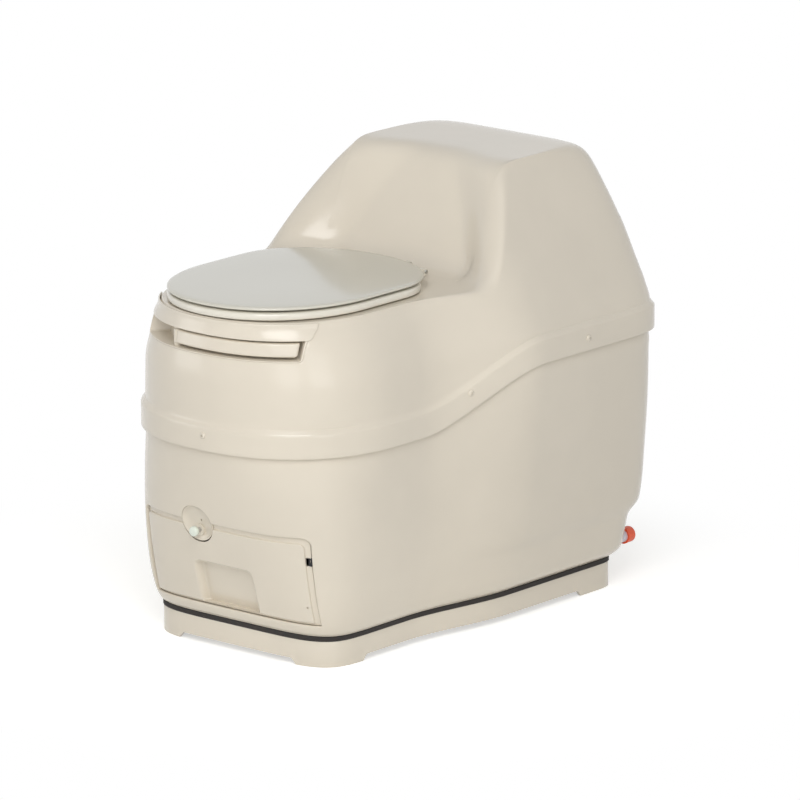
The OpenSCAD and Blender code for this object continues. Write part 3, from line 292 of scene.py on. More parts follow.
def loft(name: str, rings: Sequence[Ring], closed: bool = False) -> Obj:
    """Skins a list of closed rings of points.

    Args:
        name: The object's name.
        rings: Arrays of shape (points, 3), all of one length.
        closed: Whether the last ring joins the first. If not, both ends are
            covered by rings that shrink to their middle before they come here.

    Returns:
        The object, with its faces outwards.
    """
    count, size = len(rings), len(rings[0])
    ids = np.arange(count * size).reshape(count, size)
    low = ids if closed else ids[:-1]
    high = np.roll(ids, -1, axis=0) if closed else ids[1:]
    quads = np.stack([low, np.roll(low, -1, 1), np.roll(high, -1, 1), high], -1).reshape(-1, 4)
    faces = quads.tolist()
    if not closed:
        faces.append(ids[0][::-1].tolist())
        faces.append(ids[-1].tolist())
    made = new_mesh(name, np.concatenate(rings), faces)
    outwards(made)
    return made


def outwards(obj: Obj) -> None:
    """Merges doubled points and turns every face outwards."""
    work = bmesh.new()
    work.from_mesh(obj.data)
    bmesh.ops.remove_doubles(work, verts=work.verts, dist=0.002 * MM)
    bmesh.ops.dissolve_degenerate(work, edges=work.edges, dist=0.002 * MM)
    bmesh.ops.recalc_face_normals(work, faces=work.faces)
    work.to_mesh(obj.data)
    work.free()


def soften(obj: Obj, angle: float = 38.0) -> Obj:
    """Shades the mesh smooth, with edges sharper than the angle kept crisp."""
    obj.data.polygons.foreach_set("use_smooth", [True] * len(obj.data.polygons))
    obj.data.set_sharp_from_angle(angle=math.radians(angle))
    obj.data.update()
    return obj


def baked(obj: Obj) -> Obj:
    """Turns the modifiers of an object into its plain mesh."""
    graph = bpy.context.evaluated_depsgraph_get()
    graph.update()
    mesh = bpy.data.meshes.new_from_object(obj.evaluated_get(graph))
    obj.modifiers.clear()
    old = obj.data
    obj.data = mesh
    bpy.data.meshes.remove(old)
    return obj


def cut(obj: Obj, *tools: Obj, join: bool = False) -> Obj:
    """Takes closed tool meshes away from a mesh, or joins them to it."""
    for tool in tools:
        step = obj.modifiers.new("cut", "BOOLEAN")
        step.operation = "UNION" if join else "DIFFERENCE"
        step.solver = "MANIFOLD"
        step.object = tool
        baked(obj)
        bpy.data.objects.remove(tool)
    return obj


def dressed(obj: Obj, *nodes: str) -> Obj:
    """Gives a finished piece its material and its body, and hides the nodes it stands for."""
    chosen = Slot.named(NODE_SLOTS[nodes[0]])
    obj.data.materials.clear()
    obj.data.materials.append(chosen.finish.material())
    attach(obj, NODE_BODIES[nodes[0]])
    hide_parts(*nodes)
    LOG.info("%s: %d faces", obj.name, len(obj.data.polygons))
    return obj


def eased_copy(node: str, width: float, angle: float = 38.0) -> Obj:
    """Copies a solid with its flat faces merged and its edges eased.

    Args:
        node: The solid's node.
        width: Width of the eased edge in millimetres.
        angle: Edges sharper than this are eased.

    Returns:
        The copy, not yet dressed.
    """
    mesh = frame["nodes"][node].data.copy()
    made = bpy.data.objects.new(node + "_piece", mesh)
    bpy.context.scene.collection.objects.link(made)
    work = bmesh.new()
    work.from_mesh(mesh)
    bmesh.ops.remove_doubles(work, verts=work.verts, dist=0.005 * MM)
    bmesh.ops.dissolve_limit(
        work, angle_limit=math.radians(0.6), use_dissolve_boundaries=False, verts=work.verts,
        edges=work.edges, delimit={"NORMAL"},
    )  # fmt: skip
    work.to_mesh(mesh)
    work.free()
    ease = made.modifiers.new("ease", "BEVEL")
    ease.width = width * MM
    ease.segments = 2
    ease.limit_method = "ANGLE"
    ease.angle_limit = math.radians(angle)
    ease.use_clamp_overlap = True
    baked(made)
    return soften(made, 30.0)


# ---- the body's form


@dataclass(frozen=True)
class Columns:
    """How many points a plan has on its nose, flanks and tail, for one side."""

    nose: int
    side: int
    rear: int

    @property
    def half(self) -> int:
        """Points from the middle of the nose to the middle of the tail."""
        return self.nose + self.side + self.rear

    def order(self) -> tuple[np.ndarray, np.ndarray]:
        """Returns the place of each point on its half, and its side as 1 or -1."""
        j = np.arange(2 * self.half)
        right = j <= self.half
        return np.where(right, j, 2 * self.half - j), np.where(right, 1.0, -1.0)


BODY_COLUMNS = Columns(44, 60, 40)
TRIM_COLUMNS = Columns(36, 28, 36)


def superellipse(turn: np.ndarray, power: np.ndarray | float) -> np.ndarray:
    """Returns the radius factor of a rounded square at a turn in radians."""
    c, s = np.abs(np.cos(turn)), np.abs(np.sin(turn))
    return (c**power + s**power) ** (-1.0 / power)


FLARE_START, FLARE_END = -130.0, 85.0


def flare(y: np.ndarray | float) -> np.ndarray:
    """Returns how far the flank has widened from bowl to rear housing at y."""
    return smooth((np.asarray(y) - FLARE_START) / (FLARE_END - FLARE_START))


@dataclass(frozen=True)
class Plan:
    """A closed outline seen from above: a round nose and a squarer tail.

    Each value may be one number, or one for each point of the outline.
    """

    nose_w: float
    nose_y: float
    nose_d: float
    nose_n: float
    tail_w: float
    tail_y: float
    tail_d: float
    tail_n: float

    def grown(self, d: float) -> "Plan":
        """Returns the outline moved outwards by d."""
        return Plan(
            self.nose_w + d, self.nose_y, self.nose_d + d, self.nose_n,
            self.tail_w + d, self.tail_y, self.tail_d + d, self.tail_n,
        )  # fmt: skip

    def points(self, columns: Columns) -> np.ndarray:
        """Returns the outline's points, from the nose round by the right."""
        i, side = columns.order()
        nose_turn = np.radians(90.0 - 90.0 * np.clip(i / columns.nose, 0, 1))
        along = np.clip((i - columns.nose) / columns.side, 0, 1)
        rear_turn = np.radians(90.0 * np.clip((i - columns.nose - columns.side) / columns.rear, 0, 1))
        f = superellipse(nose_turn, self.nose_n)
        nose = (self.nose_w * np.cos(nose_turn) * f, self.nose_y - self.nose_d * np.sin(nose_turn) * f)
        flank_y = mix(self.nose_y, self.tail_y, along)
        flank = (mix(self.nose_w, self.tail_w, flare(flank_y)), flank_y)
        f = superellipse(rear_turn, self.tail_n)
        tail_w = mix(self.nose_w, self.tail_w, flare(self.tail_y))
        tail = (tail_w * np.cos(rear_turn) * f, self.tail_y + self.tail_d * np.sin(rear_turn) * f)
        on_nose, on_flank = i <= columns.nose, i <= columns.nose + columns.side
        x = np.where(on_nose, nose[0], np.where(on_flank, flank[0], tail[0])) * side
        y = np.where(on_nose, nose[1], np.where(on_flank, flank[1], tail[1]))
        x = np.where((i == 0) | (i == columns.half), 0.0, x)
        return np.stack(np.broadcast_arrays(x, y), -1)

    def ring(self, z: np.ndarray | float, columns: Columns) -> Ring:
        """Returns the outline's points at height z."""
        p = self.points(columns)
        return np.stack([p[..., 0], p[..., 1], np.broadcast_to(z, p.shape[:-1])], -1)

    def stack(self, steps: Sequence[tuple[float, np.ndarray | float]], columns: Columns) -> list[Ring]:
        """Returns a ring for each pair of growth and height."""
        return [self.grown(d).ring(z, columns) for d, z in steps]

    def nose_point(self, x: np.ndarray, out: np.ndarray | float) -> tuple[np.ndarray, np.ndarray]:
        """Returns the nose's point at sideways distance x, moved outwards."""
        share = np.abs(x) / self.nose_w
        q = np.maximum(1e-4, 1.0 - share**self.nose_n) ** (1.0 / self.nose_n)
        gx = np.sign(x) * share ** (self.nose_n - 1) / self.nose_w
        gy = -(q ** (self.nose_n - 1)) / self.nose_d
        size = np.hypot(gx, gy)
        return x + out * gx / size, self.nose_y - self.nose_d * q + out * gy / size


class Skin(Enum):
    """The two moulded walls that a front panel can follow."""

    BOWL = "bowl"
    LOWER = "lower"


@dataclass
class BodyForm:
    """The outlines of the two shells by height, as in the source."""

    roof_h: float = 704.0
    deck_h: float = 538.0
    shell_z0: float = 49.0
    band_nose_z: float = 335.0
    band_rear_z: float = 420.0
    band_h: float = 38.0
    band_step: float = 8.0
    nose_y: float = -190.0
    tail_y: float = 200.0
    wall: float = 5.0
    wing_foot: float = 22.0
    wing_lean: float = 0.68
    niche_depth: float = 52.0
    niche_fade: float = 0.2
    niche_least: float = 15.0
    roll_start: float = 114.0
    roll_end: float = 24.0
    fillet: float = 24.0
    face_tilt: float = 1.2
    roof_roll: float = 26.0
    foot_roll: float = 32.0
    roof_blend: float = 30.0
    crest_below: Spot = (6.0, 5.0)
    search: tuple[float, float, int] = (300.0, 1100.0, 22)
    band: Plan = Plan(218.4, -190, 214, 2.3, 279.5, 200, 204, 6.6)
    foot: Plan = Plan(156, -190, 176, 2.3, 138, -20, 70, 2)
    roof: Plan = Plan(175, -190, 190, 2.3, 142, 105, 46, 6)
    hole: Plan = Plan(124, -190, 118, 2.2, 118, -140, 84, 2.4)
    bowl_n: float = 2.25
    bowl_w: Table = ((335, 214), (440, 212), (485, 201), (515, 190), (533, 181), (704, 178))
    bowl_d: Table = ((335, 400), (440, 399), (485, 394.5), (515, 391), (533, 388), (704, 386))
    rear_w: Table = (
        (420, 274), (463, 272.5), (490, 262), (523, 246), (570, 222), (634, 190), (697, 150), (704, 143),
    )  # fmt: skip
    rear_d: Table = (
        (420, 398), (463, 397), (500, 395), (523, 392), (570, 388), (634, 374), (697, 356), (704, 345),
    )  # fmt: skip
    rear_n: Table = ((420, 6.6), (523, 7.5), (704, 9))
    low_nose_w: Table = ((49, 184), (54, 189), (62, 193), (80, 198), (118, 204), (235, 209), (335, 210.4))
    low_nose_d: Table = ((49, 317), (54, 321), (62, 325), (80, 331), (118, 342), (235, 374), (335, 396.4))
    low_nose_n: Table = ((49, 5), (118, 4.2), (235, 3), (335, 2.3))
    low_rear_w: Table = (
        (49, 209), (54, 216), (62, 224), (100, 232), (118, 235), (140, 244), (235, 257), (314, 266),
        (400, 273.9)
    )  # fmt: skip
    low_rear_d: Table = (
        (49, 348), (54, 355), (62, 362), (100, 368), (118, 370), (140, 390), (235, 394), (314, 396),
        (400, 396.4)
    )  # fmt: skip
    low_rear_n: Table = ((49, 14), (140, 12), (260, 9), (400, 6.6))

    def upper_plan(self, z: np.ndarray | float) -> Plan:
        """Returns the bowl and rear housing's outline at height z."""
        read = station_curve
        return Plan(
            read(self.bowl_w, z), self.nose_y, read(self.bowl_d, z) + self.nose_y, self.bowl_n,
            read(self.rear_w, z), self.tail_y, read(self.rear_d, z) - self.tail_y, read(self.rear_n, z),
        )  # fmt: skip

    def lower_plan(self, z: np.ndarray | float) -> Plan:
        """Returns the lower shell's outline at height z."""
        read = station_curve
        return Plan(
            read(self.low_nose_w, z), self.nose_y, read(self.low_nose_d, z) + self.nose_y,
            read(self.low_nose_n, z), read(self.low_rear_w, z), self.tail_y,
            read(self.low_rear_d, z) - self.tail_y, read(self.low_rear_n, z),
        )  # fmt: skip

    def skin_plan(self, skin: Skin, z: np.ndarray | float) -> Plan:
        """Returns the outline of a wall at height z."""
        return self.upper_plan(z) if skin is Skin.BOWL else self.lower_plan(z)

    def band_z(self, y: np.ndarray) -> np.ndarray:
        """Returns the height of the band's lower edge at y."""
        return mix(self.band_nose_z, self.band_rear_z, flare(y))

    def face_y(self, x: np.ndarray, z: np.ndarray) -> np.ndarray:
        """Returns how far back the rear housing's front face is."""
        scoop = np.maximum(self.niche_least, self.niche_depth - (z - self.deck_h) * self.niche_fade)
        wide = station_curve(self.rear_w, z)
        start, end = wide - self.roll_start, wide - self.roll_end
        t = (np.abs(x) - start) / (end - start)
        fall = mix(smooth(t), np.clip(t * 1.1 - 0.05, 0.0, 1.0), 0.5)
        return self.wing_foot + (z - self.deck_h) * self.wing_lean + scoop * (1.0 - fall)

    def top_z(self, x: np.ndarray, y: np.ndarray) -> np.ndarray:
        """Returns the height of the deck, the niche and the roof."""
        least, most, halvings = self.search
        low, high = np.full(x.shape, least), np.full(x.shape, most)
        for _ in range(halvings):
            middle = (low + high) / 2.0
            ahead = self.face_y(x, middle) < y
            low, high = np.where(ahead, middle, low), np.where(ahead, high, middle)
        roof = soft_min(np.full(x.shape, self.roof_h), (low + high) / 2.0, self.roof_blend)
        return soft_max(np.full(x.shape, self.deck_h), roof, self.fillet)

    def top_out(self, p: np.ndarray) -> np.ndarray:
        """Returns how far points stand out of the deck, the niche and the roof."""
        x, y, z = np.moveaxis(p, -1, 0)
        ahead = (self.face_y(x, z) - y) / self.face_tilt
        return soft_min(z - self.deck_h, soft_max(ahead, z - self.roof_h, self.roof_roll), self.foot_roll)

    def onto_top(self, p: np.ndarray, step: float = 0.5) -> np.ndarray:
        """Returns the points moved to the nearest spot of the top."""
        out = self.top_out(p)
        steep = np.stack([(self.top_out(p + step * axis) - out) / step for axis in np.eye(3)], -1)
        return p - steep * (out / np.maximum((steep * steep).sum(-1), 0.2))[..., None]

    def settled(self, grid: np.ndarray, passes: int = 60) -> np.ndarray:
        """Spreads rings of points evenly over the top; the first and last ring stay."""
        out = grid.copy()
        for _ in range(passes):
            near = out[:-2] + out[2:] + (np.roll(out, 1, 1) + np.roll(out, -1, 1))[1:-1]
            out[1:-1] = self.onto_top(mix(out[1:-1], near / 4.0, 0.7))
        out[1:-1] = self.onto_top(self.onto_top(out[1:-1]))
        return out

    def crest(self, columns: Columns) -> tuple[np.ndarray, np.ndarray]:
        """Returns where the wall turns into the top: its height and plan point."""
        z, (under_roof, under_slope) = np.full(2 * columns.half, 600.0), self.crest_below
        for _ in range(40):
            p = self.upper_plan(z).points(columns)
            z = mix(z, np.minimum(self.roof_h - under_roof, self.top_z(p[:, 0], p[:, 1]) - under_slope), 0.5)
        return z, self.upper_plan(z).points(columns)


def unit_rows(v: np.ndarray) -> np.ndarray:
    """Returns the vectors at length one."""
    return v / np.maximum(np.linalg.norm(v, axis=-1, keepdims=True), 1e-9)


def inset(grid: np.ndarray, depth: float) -> np.ndarray:
    """Moves a grid of rings along its normals into the body."""
    around = np.roll(grid, -1, 1) - np.roll(grid, 1, 1)
    up = np.gradient(grid, axis=0)
    return grid - depth * unit_rows(np.cross(around, up))


def relaxed(grid: np.ndarray, weight: np.ndarray, passes: int, around: float = 0.5) -> np.ndarray:
    """Evens out a grid of rings, more where the weight is larger.

    Args:
        grid: Rings of points, of shape (rows, columns, 3).
        weight: The share for each row, from 0 to 1.
        passes: How often neighbours are averaged.
        around: Share of the averaging that runs along the rings.

    Returns:
        The new grid.
    """
    out = grid.copy()
    w = weight[:, None, None]
    for _ in range(passes):
        rows = out.copy()
        rows[1:-1] = (out[:-2] + out[2:]) / 2.0
        ring = (np.roll(out, 1, 1) + np.roll(out, -1, 1)) / 2.0
        out = out + 0.5 * w * (mix(rows, ring, around) - out)
    return out


FORM = BodyForm()


# ---- panels on the front


@dataclass(frozen=True)
class Rect:
    """A rounded rectangle on the front wall, by sideways distance and height."""

    x0: float
    x1: float
    z0: float
    z1: float
    r_low: float = 2.0
    r_high: float = 2.0

    def grown(self, d: float) -> "Rect":
        """Returns the rectangle larger by d on every side."""
        low, high = max(0.3, self.r_low + d), max(0.3, self.r_high + d)
        return Rect(self.x0 - d, self.x1 + d, self.z0 - d, self.z1 + d, low, high)

    def counts(self, step: float) -> tuple[int, int]:
        """Returns how many steps its wide and its tall sides have."""
        wide, tall = self.x1 - self.x0, self.z1 - self.z0
        return max(6, int(wide / step) // 2 * 2), max(4, int(tall / step) // 2 * 2)

    def loop(self, wide: int, tall: int, corner: int = 8) -> np.ndarray:
        """Returns points round the rectangle, with set counts on each side."""
        arcs = []
        for x, z, start, r, (ix, iz) in (
            (self.x1, self.z0, -90, self.r_low, (-1, 1)), (self.x1, self.z1, 0, self.r_high, (-1, -1)),
            (self.x0, self.z1, 90, self.r_high, (1, -1)), (self.x0, self.z0, 180, self.r_low, (1, 1)),
        ):  # fmt: skip
            turn = np.radians(start + 90.0 * np.linspace(0, 1, corner + 1))
            arcs.append(np.stack([x + ix * r + r * np.cos(turn), z + iz * r + r * np.sin(turn)], -1))
        spots = []
        for arc, following, count in zip(arcs, arcs[1:] + arcs[:1], (tall, wide, tall, wide)):
            spots += [arc, mix(arc[-1], following[0], np.linspace(0, 1, count + 1)[1:-1, None])]
        return np.concatenate(spots)


def on_wall(skin: Skin, flat: np.ndarray, out: float) -> Ring:
    """Puts flat points on a wall, moved outwards."""
    x, y = FORM.skin_plan(skin, flat[:, 1]).nose_point(flat[:, 0], out)
    return np.stack([x, y, flat[:, 1]], -1)


def front_block(
    name: str, skin: Skin, first: Rect, loops: Sequence[tuple[Rect | float, float]],
    step: float = 4.0, to_middle: int = 10,
) -> Obj:  # fmt: skip
    """Makes a solid whose sides follow the front wall.

    Args:
        name: The object's name.
        skin: The wall that it follows.
        first: The rectangle that sets how many points each loop has.
        loops: How far first is grown, or another rectangle, and its distance out of the wall.
        step: Length of a loop's steps.
        to_middle: How many rings cover each end along the wall.

    Returns:
        The solid.
    """
    counts = first.counts(step)
    flats = [((r if isinstance(r, Rect) else first.grown(r)).loop(*counts), out) for r, out in loops]

    def cover(flat: np.ndarray, out: float) -> list[Ring]:
        """Returns rings that shrink to the middle of the loop."""
        spine, middle = flat.copy(), flat.mean(0)
        reach = max(0.0, np.ptp(flat[:, 0]) - np.ptp(flat[:, 1])) / 2.0
        spine[:, 0] = np.clip(flat[:, 0], middle[0] - reach, middle[0] + reach)
        spine[:, 1] = middle[1]
        return [on_wall(skin, mix(spine, flat, s), out) for s in np.linspace(1.0, 0.0, to_middle + 1)[1:]]

    rings = cover(*flats[0])[::-1] + [on_wall(skin, f, out) for f, out in flats] + cover(*flats[-1])
    return loft(name, rings)


# ---- round pieces

AXES = {"x": ((0, 1, 0), (0, 0, 1), (1, 0, 0)), "y": ((1, 0, 0), (0, 0, 1), (0, 1, 0)), "z": np.eye(3)}


def turned(
    name: str, profile: Table, centre: Point, axis: str = "y", tilt: float = 0.0,
    steps: int = 72, closed: bool = False,
) -> Obj:  # fmt: skip
    """Turns a profile about a line.

    Args:
        name: The object's name.
        profile: Radius and distance along the line, from one end to the other.
        centre: A point on the line.
        axis: Which axis the line follows.
        tilt: Turn of the line about X, in degrees.
        steps: Points round the line.
        closed: Whether the profile runs back to its start, round a bore.

    Returns:
        The solid.
    """
    a = np.linspace(0, 2 * math.pi, steps, endpoint=False)[:, None]
    across, up, along = np.array(AXES[axis], float)
    turn = np.array(Matrix.Rotation(math.radians(tilt), 3, "X")).T
    rings = [max(r, 0.01) * (np.cos(a) * across + np.sin(a) * up) + d * along for r, d in profile]
    return loft(name, [ring @ turn + np.array(centre) for ring in rings], closed)


def rod(r: float, low: float, high: float, centre: Point, axis: str = "y", steps: int = 72) -> Obj:
    """Returns a plain rod, for cutting or joining."""
    return turned("rod", ((r, low), (r, high)), centre, axis, steps=steps)


def bar_mesh(low: Point, high: Point) -> Obj:
    """Returns a plain bar between two corners, for cutting or joining."""
    xs, ys, zs = zip(low, high)
    corners = [(x, y, z) for x in xs for y in ys for z in zs]
    faces = [(0, 1, 3, 2), (4, 6, 7, 5), (0, 4, 5, 1), (2, 3, 7, 6), (0, 2, 6, 4), (1, 5, 7, 3)]
    bar = new_mesh("bar", np.array(corners), faces)
    outwards(bar)
    return bar


# ---- places that several pieces share

VENT: Point = (0.0, 0.0, 600.0)
DRAIN: Point = (196.0, 0.0, 70.0)
GLAND: Point = (-150.0, 0.0, 96.0)
DRUM: Point = (0.0, 0.0, 346.0)
LOCK: Point = (-37.0, 0.0, 194.0)
DISH: Point = (-35.0, -365.918, 206.0)
DISH_R, DISH_TILT = 30.0, 14.5
HINGE: Point = (0.0, 17.0, 547.5)
EYE_R, HINGE_BORE = 5.4, 3.05


# ---- the shells


@dataclass
class UpperShell:
    """The upper moulding: flange band, bowl, rear housing with its niche."""

    wall_rows: int = 46
    track_rows: tuple[int, ...] = (16, 52, 14)
    mouth_edge: float = 1.3
    pocket: Rect = Rect(-152.2, 152.2, 480.8, 514.2, 4.0, 1.0)
    boss_r: float = 42.0
    boss_y0: float = 352.0
    boss_y1: float = 392.0
    tube_r: float = 33.05
    post_x: float = 75.0

    def outer(self) -> np.ndarray:
        """Returns the outer rings from the band's lower edge to the deck's hole."""
        f, cols = FORM, BODY_COLUMNS
        low = f.band_z(f.band.points(cols)[:, 1])
        high = low + f.band_h
        rows = f.band.stack((
            (-1.4, low), (-0.4, low + 0.3), (0.0, low + 1.6), (0.0, low + 8.0), (0.0, low + 19.0),
            (0.0, low + 30.0), (0.0, high - 2.4), (-0.5, high - 0.6), (-1.6, high + 0.9),
            (-3.0, high + 2.6), (-4.0, high + 4.6),
        ), cols)  # fmt: skip
        first_eased = len(rows) + self.wall_rows // 2
        crest_z, crest = f.crest(cols)
        for s in np.linspace(0, 1, self.wall_rows) ** 0.9:
            z = mix(high + 6.5, crest_z, s)
            rows.append(f.upper_plan(z).ring(z, cols))
        first_top = len(rows)
        stops = (crest, *(plan.points(cols) for plan in (f.roof, f.foot, f.hole)))
        for a, b, count in zip(stops, stops[1:], self.track_rows):
            for s in np.linspace(0, 1, count + 1)[1:]:
                p = mix(a, b, s)
                rows.append(np.column_stack([p, f.top_z(p[:, 0], p[:, 1])]))
        grid = np.stack(rows)
        grid[first_top - 1 :] = f.settled(grid[first_top - 1 :])
        row = np.arange(len(grid))
        near_crest = np.exp(-(((row - first_top) / 5.0) ** 2))
        eased = (row >= first_eased) & (row < len(grid) - 3)
        grid = relaxed(grid, eased * np.maximum(0.35, near_crest), 10, around=0.35)
        d = f.deck_h
        edge = f.hole.stack(((-0.6, d - 0.2), (-1.6, d - 1.2), (-2.0, d - 3.0), (-3.0, d - 16.0)), cols)
        return np.concatenate([grid, np.stack(edge)])

    def build(self) -> Obj:
        """Makes the moulding with its wall, pocket, boss and holes."""
        f, cols = FORM, BODY_COLUMNS
        outer = self.outer()
        low = f.band_z(f.band.points(cols)[:, 1])
        high, lap = low + f.band_h - 5.0, 0.5 - f.band_step
        start = f.band.stack(((lap, low), (lap, high), (-4.5 - f.wall, high)), cols)
        rings = [*outer[::-1], *start, *inset(outer[12::2], f.wall), inset(outer, f.wall)[-1]]
        shell = loft("upper_shell_piece", rings, closed=True)
        r, y0, y1, edge = self.boss_r, self.boss_y0, self.boss_y1, self.mouth_edge
        boss = ((r, y0), (r, y1 - 2.0), (r - 0.6, y1 - 0.6), (r - 2.0, y1), (r - 6.0, y1))
        cut(shell, turned("boss", boss, VENT), join=True)
        mouth = ((0.0, -12.0), (0.0, -edge), (0.4, -0.4), (edge, 0.1), (edge, 9.0))
        cut(
            shell,
            rod(self.tube_r, y0 - 1, y1 + 20, VENT),
            front_block("mouth", Skin.BOWL, self.pocket, mouth),
        )
        for x in (-self.post_x, self.post_x):
            cut(shell, rod(4.0, f.deck_h - 20, f.deck_h + 20, (x, HINGE[1], 0.0), "z", 48))
        return soften(shell, 40.0)


@dataclass
class LowerShell:
    """The lower moulding, with the drawer's opening and the lock dish's seat."""

    heights: tuple[float, ...] = (
        51.5, 54.0, 57.0, 60.0, 63.5, 67.0, 71.0, 76.0, 82.0, 88.0, 94.0, *range(100, 141, 4)
    )  # fmt: skip
    free_rows: int = 40
    opening: Rect = Rect(-166.0, 166.0, 68.0, 210.0, 1.5, 13.0)
    mouth_edge: float = 1.5
    seat_edge: float = 1.0
    boss_r: float = 26.0

    def outer(self) -> np.ndarray:
        """Returns the outer rings from the gasket to the lap under the band."""
        f, cols, z0 = FORM, BODY_COLUMNS, FORM.shell_z0
        rows = f.lower_plan(z0).stack(((-1.2, z0), (-0.3, z0 + 0.5), (0.0, z0 + 1.6)), cols)
        rows += [f.lower_plan(z).ring(float(z), cols) for z in self.heights]
        y = f.band.points(cols)[:, 1]
        band_z = f.band_z(y)
        for s in np.linspace(0, 1, self.free_rows + 1)[1:-1] * 0.97:
            z = mix(float(self.heights[-1]), band_z, s)
            at = z + (f.band_nose_z - band_z) * s * (1.0 - flare(y))
            rows.append(np.column_stack([f.lower_plan(at).points(cols), z]))
        grid = np.stack(rows)
        weight = np.zeros(len(grid))
        weight[4:-2] = 0.7
        grid = relaxed(grid, weight, 5, around=0.3)
        lap = f.band.stack(((-f.band_step, band_z), (-f.band_step, band_z + f.band_h - 5.4)), cols)
        return np.concatenate([grid, np.stack(lap)])

    def build(self) -> Obj:
        """Makes the moulding with its wall, boss and openings."""
        wall, z0, outer = FORM.wall, FORM.shell_z0, self.outer()
        first = FORM.lower_plan(z0).grown(-wall).ring(z0, BODY_COLUMNS)
        rings = [*outer[::-1], first, *inset(outer[1::2], wall), inset(outer, wall)[-1]]
        shell = loft("lower_shell_piece", rings, closed=True)
        cut(shell, rod(self.boss_r, -388, -326, DRUM), join=True)
        e = self.mouth_edge
        mouth = ((0.0, -16.0), (0.0, -e), (0.25, -0.7 * e), (0.8, -0.25 * e), (e, 0.1), (e, 20.0))
        r, e = DISH_R + 0.02, self.seat_edge
        seat = ((r, 22), (r, e), (r + 0.3, 0.3), (r + e, -0.6), (r + e + 2.4, -3.0), (r + 8, -30))
        cut(
            shell,
            rod(16.02, -386, -325, DRUM),
            front_block("opening", Skin.LOWER, self.opening, mouth, 3.0),
            turned("seat", seat, DISH, tilt=DISH_TILT),
            rod(10.02, 300, 400, DRAIN, steps=48),
            rod(7.02, 300, 400, GLAND, steps=48),
        )
        return soften(shell, 40.0)


# ---- the front panels


@dataclass
class DrawerFront:
    """The drawer's front: a flange, a raised panel, a pull and the dish's notch."""

    flange: Rect = Rect(-165.3, 165.3, 68.7, 209.3, 1.2, 12.4)
    panel: Rect = Rect(-157.0, 157.0, 72.0, 201.0, 2.0, 9.0)
    pull: Rect = Rect(-58.0, 58.0, 72.6, 143.0, 3.0, 11.0)
    cup: Rect = Rect(-66.0, 66.0, 69.2, 150.0, 2.0, 8.0)
    slot: Rect = Rect(157.0, 163.0, 165.5, 178.5, 0.4, 0.4)
    dot: Spot = (150.5, 98.0)
    channel: float = -5.0
    face: float = -1.2
    back: float = -8.5
    pull_deep: float = -15.0
    notch_r: float = 30.7

    def build(self) -> Obj:
        """Makes the front as one solid and cuts the pull, notch, slot and dot."""
        panel, p, wall = self.panel.grown, self.pull, Skin.LOWER
        low, face, back, deep = self.channel, self.face, self.back, self.pull_deep
        loops = (
            (-1.0, back), (0.0, back + 0.9), (0.0, low - 0.8), (-0.3, low - 0.2), (-0.9, low),
            (panel(1.4), low), (panel(0.5), low + 0.25), (panel(0.05), low + 1.0),
            (panel(-0.3), face - 1.3), (panel(-0.8), face - 0.5), (panel(-1.6), face - 0.1),
            (panel(-2.6), face),
        )  # fmt: skip
        front = front_block("drawer_front_piece", wall, self.flange, loops, 3.0, 18)
        cut(front, front_block("cup", wall, p, ((self.cup, -17.6), (self.cup, -5.4)), 3.0), join=True)
        pull = [
            (Rect(p.x0 - d, p.x1 + d, p.z0, p.z1 + d, p.r_low, p.r_high), out)
            for d, out in (
                (-6.5, deep), (-4.5, deep + 0.8), (-3.6, deep + 2.6), (-0.9, face - 1.6), (-0.1, face - 0.7),
                (1.1, face + 0.1), (1.2, 14.0),
            )
        ]  # fmt: skip
        r, y = self.notch_r, DISH[1]
        notch = ((r, y + 40), (r, y + 3.0), (r + 0.5, y + 1.6), (r + 1.6, y + 0.9), (r + 1.6, y - 30))
        dot_y = on_wall(wall, np.array([self.dot]), face)[0, 1]
        cut(
            front,
            front_block("pull", wall, p, pull, 3.0),
            turned("notch", notch, (DISH[0], 0.0, DISH[2])),
            front_block("slot", wall, self.slot, ((0.0, -30.0), (0.0, 4.0)), 2.0, 4),
            rod(1.6, -3.2, 12.0, (self.dot[0], dot_y, self.dot[1]), steps=24),
        )
        return soften(front)


@dataclass
class HandleHousing:
    """The pocket that the crank folds into, with the thin fascia above it."""

    inside: Rect = Rect(-150.0, 150.0, 483.0, 512.0, 3.0, 1.5)
    wall: float = 2.5
    deep: float = 30.5
    fascia: Rect = Rect(-155.5, 155.5, 512.0, 537.0, 4.5, 1.5)
    fascia_t: float = 2.6
    bush: Point = (-60.0, 0.0, 498.63)

    def build(self) -> Obj:
        """Makes the cup and the fascia as one solid."""
        w, t, b = self.wall, self.fascia_t, -self.deep
        cup = ((w - 0.8, b - w), (w, b - w + 0.8), (w, -1.0), (w - 0.2, 0.1), (w - 0.9, 0.8), (w - 1.2, 1.0))
        lip = ((0.0, 0.5), (0.0, t - 1.0), (-0.3, t - 0.35), (-1.0, t))
        hollow = (
            (-1.6, b), (-0.4, b + 0.5), (0.0, b + 1.8), (0.0, -0.2), (0.3, 0.6), (0.9, 1.2), (0.9, 12.0),
        )  # fmt: skip
        body = front_block("handle_housing_piece", Skin.BOWL, self.inside, cup)
        cut(body, front_block("fascia", Skin.BOWL, self.fascia, lip), join=True)
        cut(
            body,
            front_block("hollow", Skin.BOWL, self.inside, hollow),
            rod(9.02, -384, -315, self.bush, steps=48),
        )
        return soften(body)


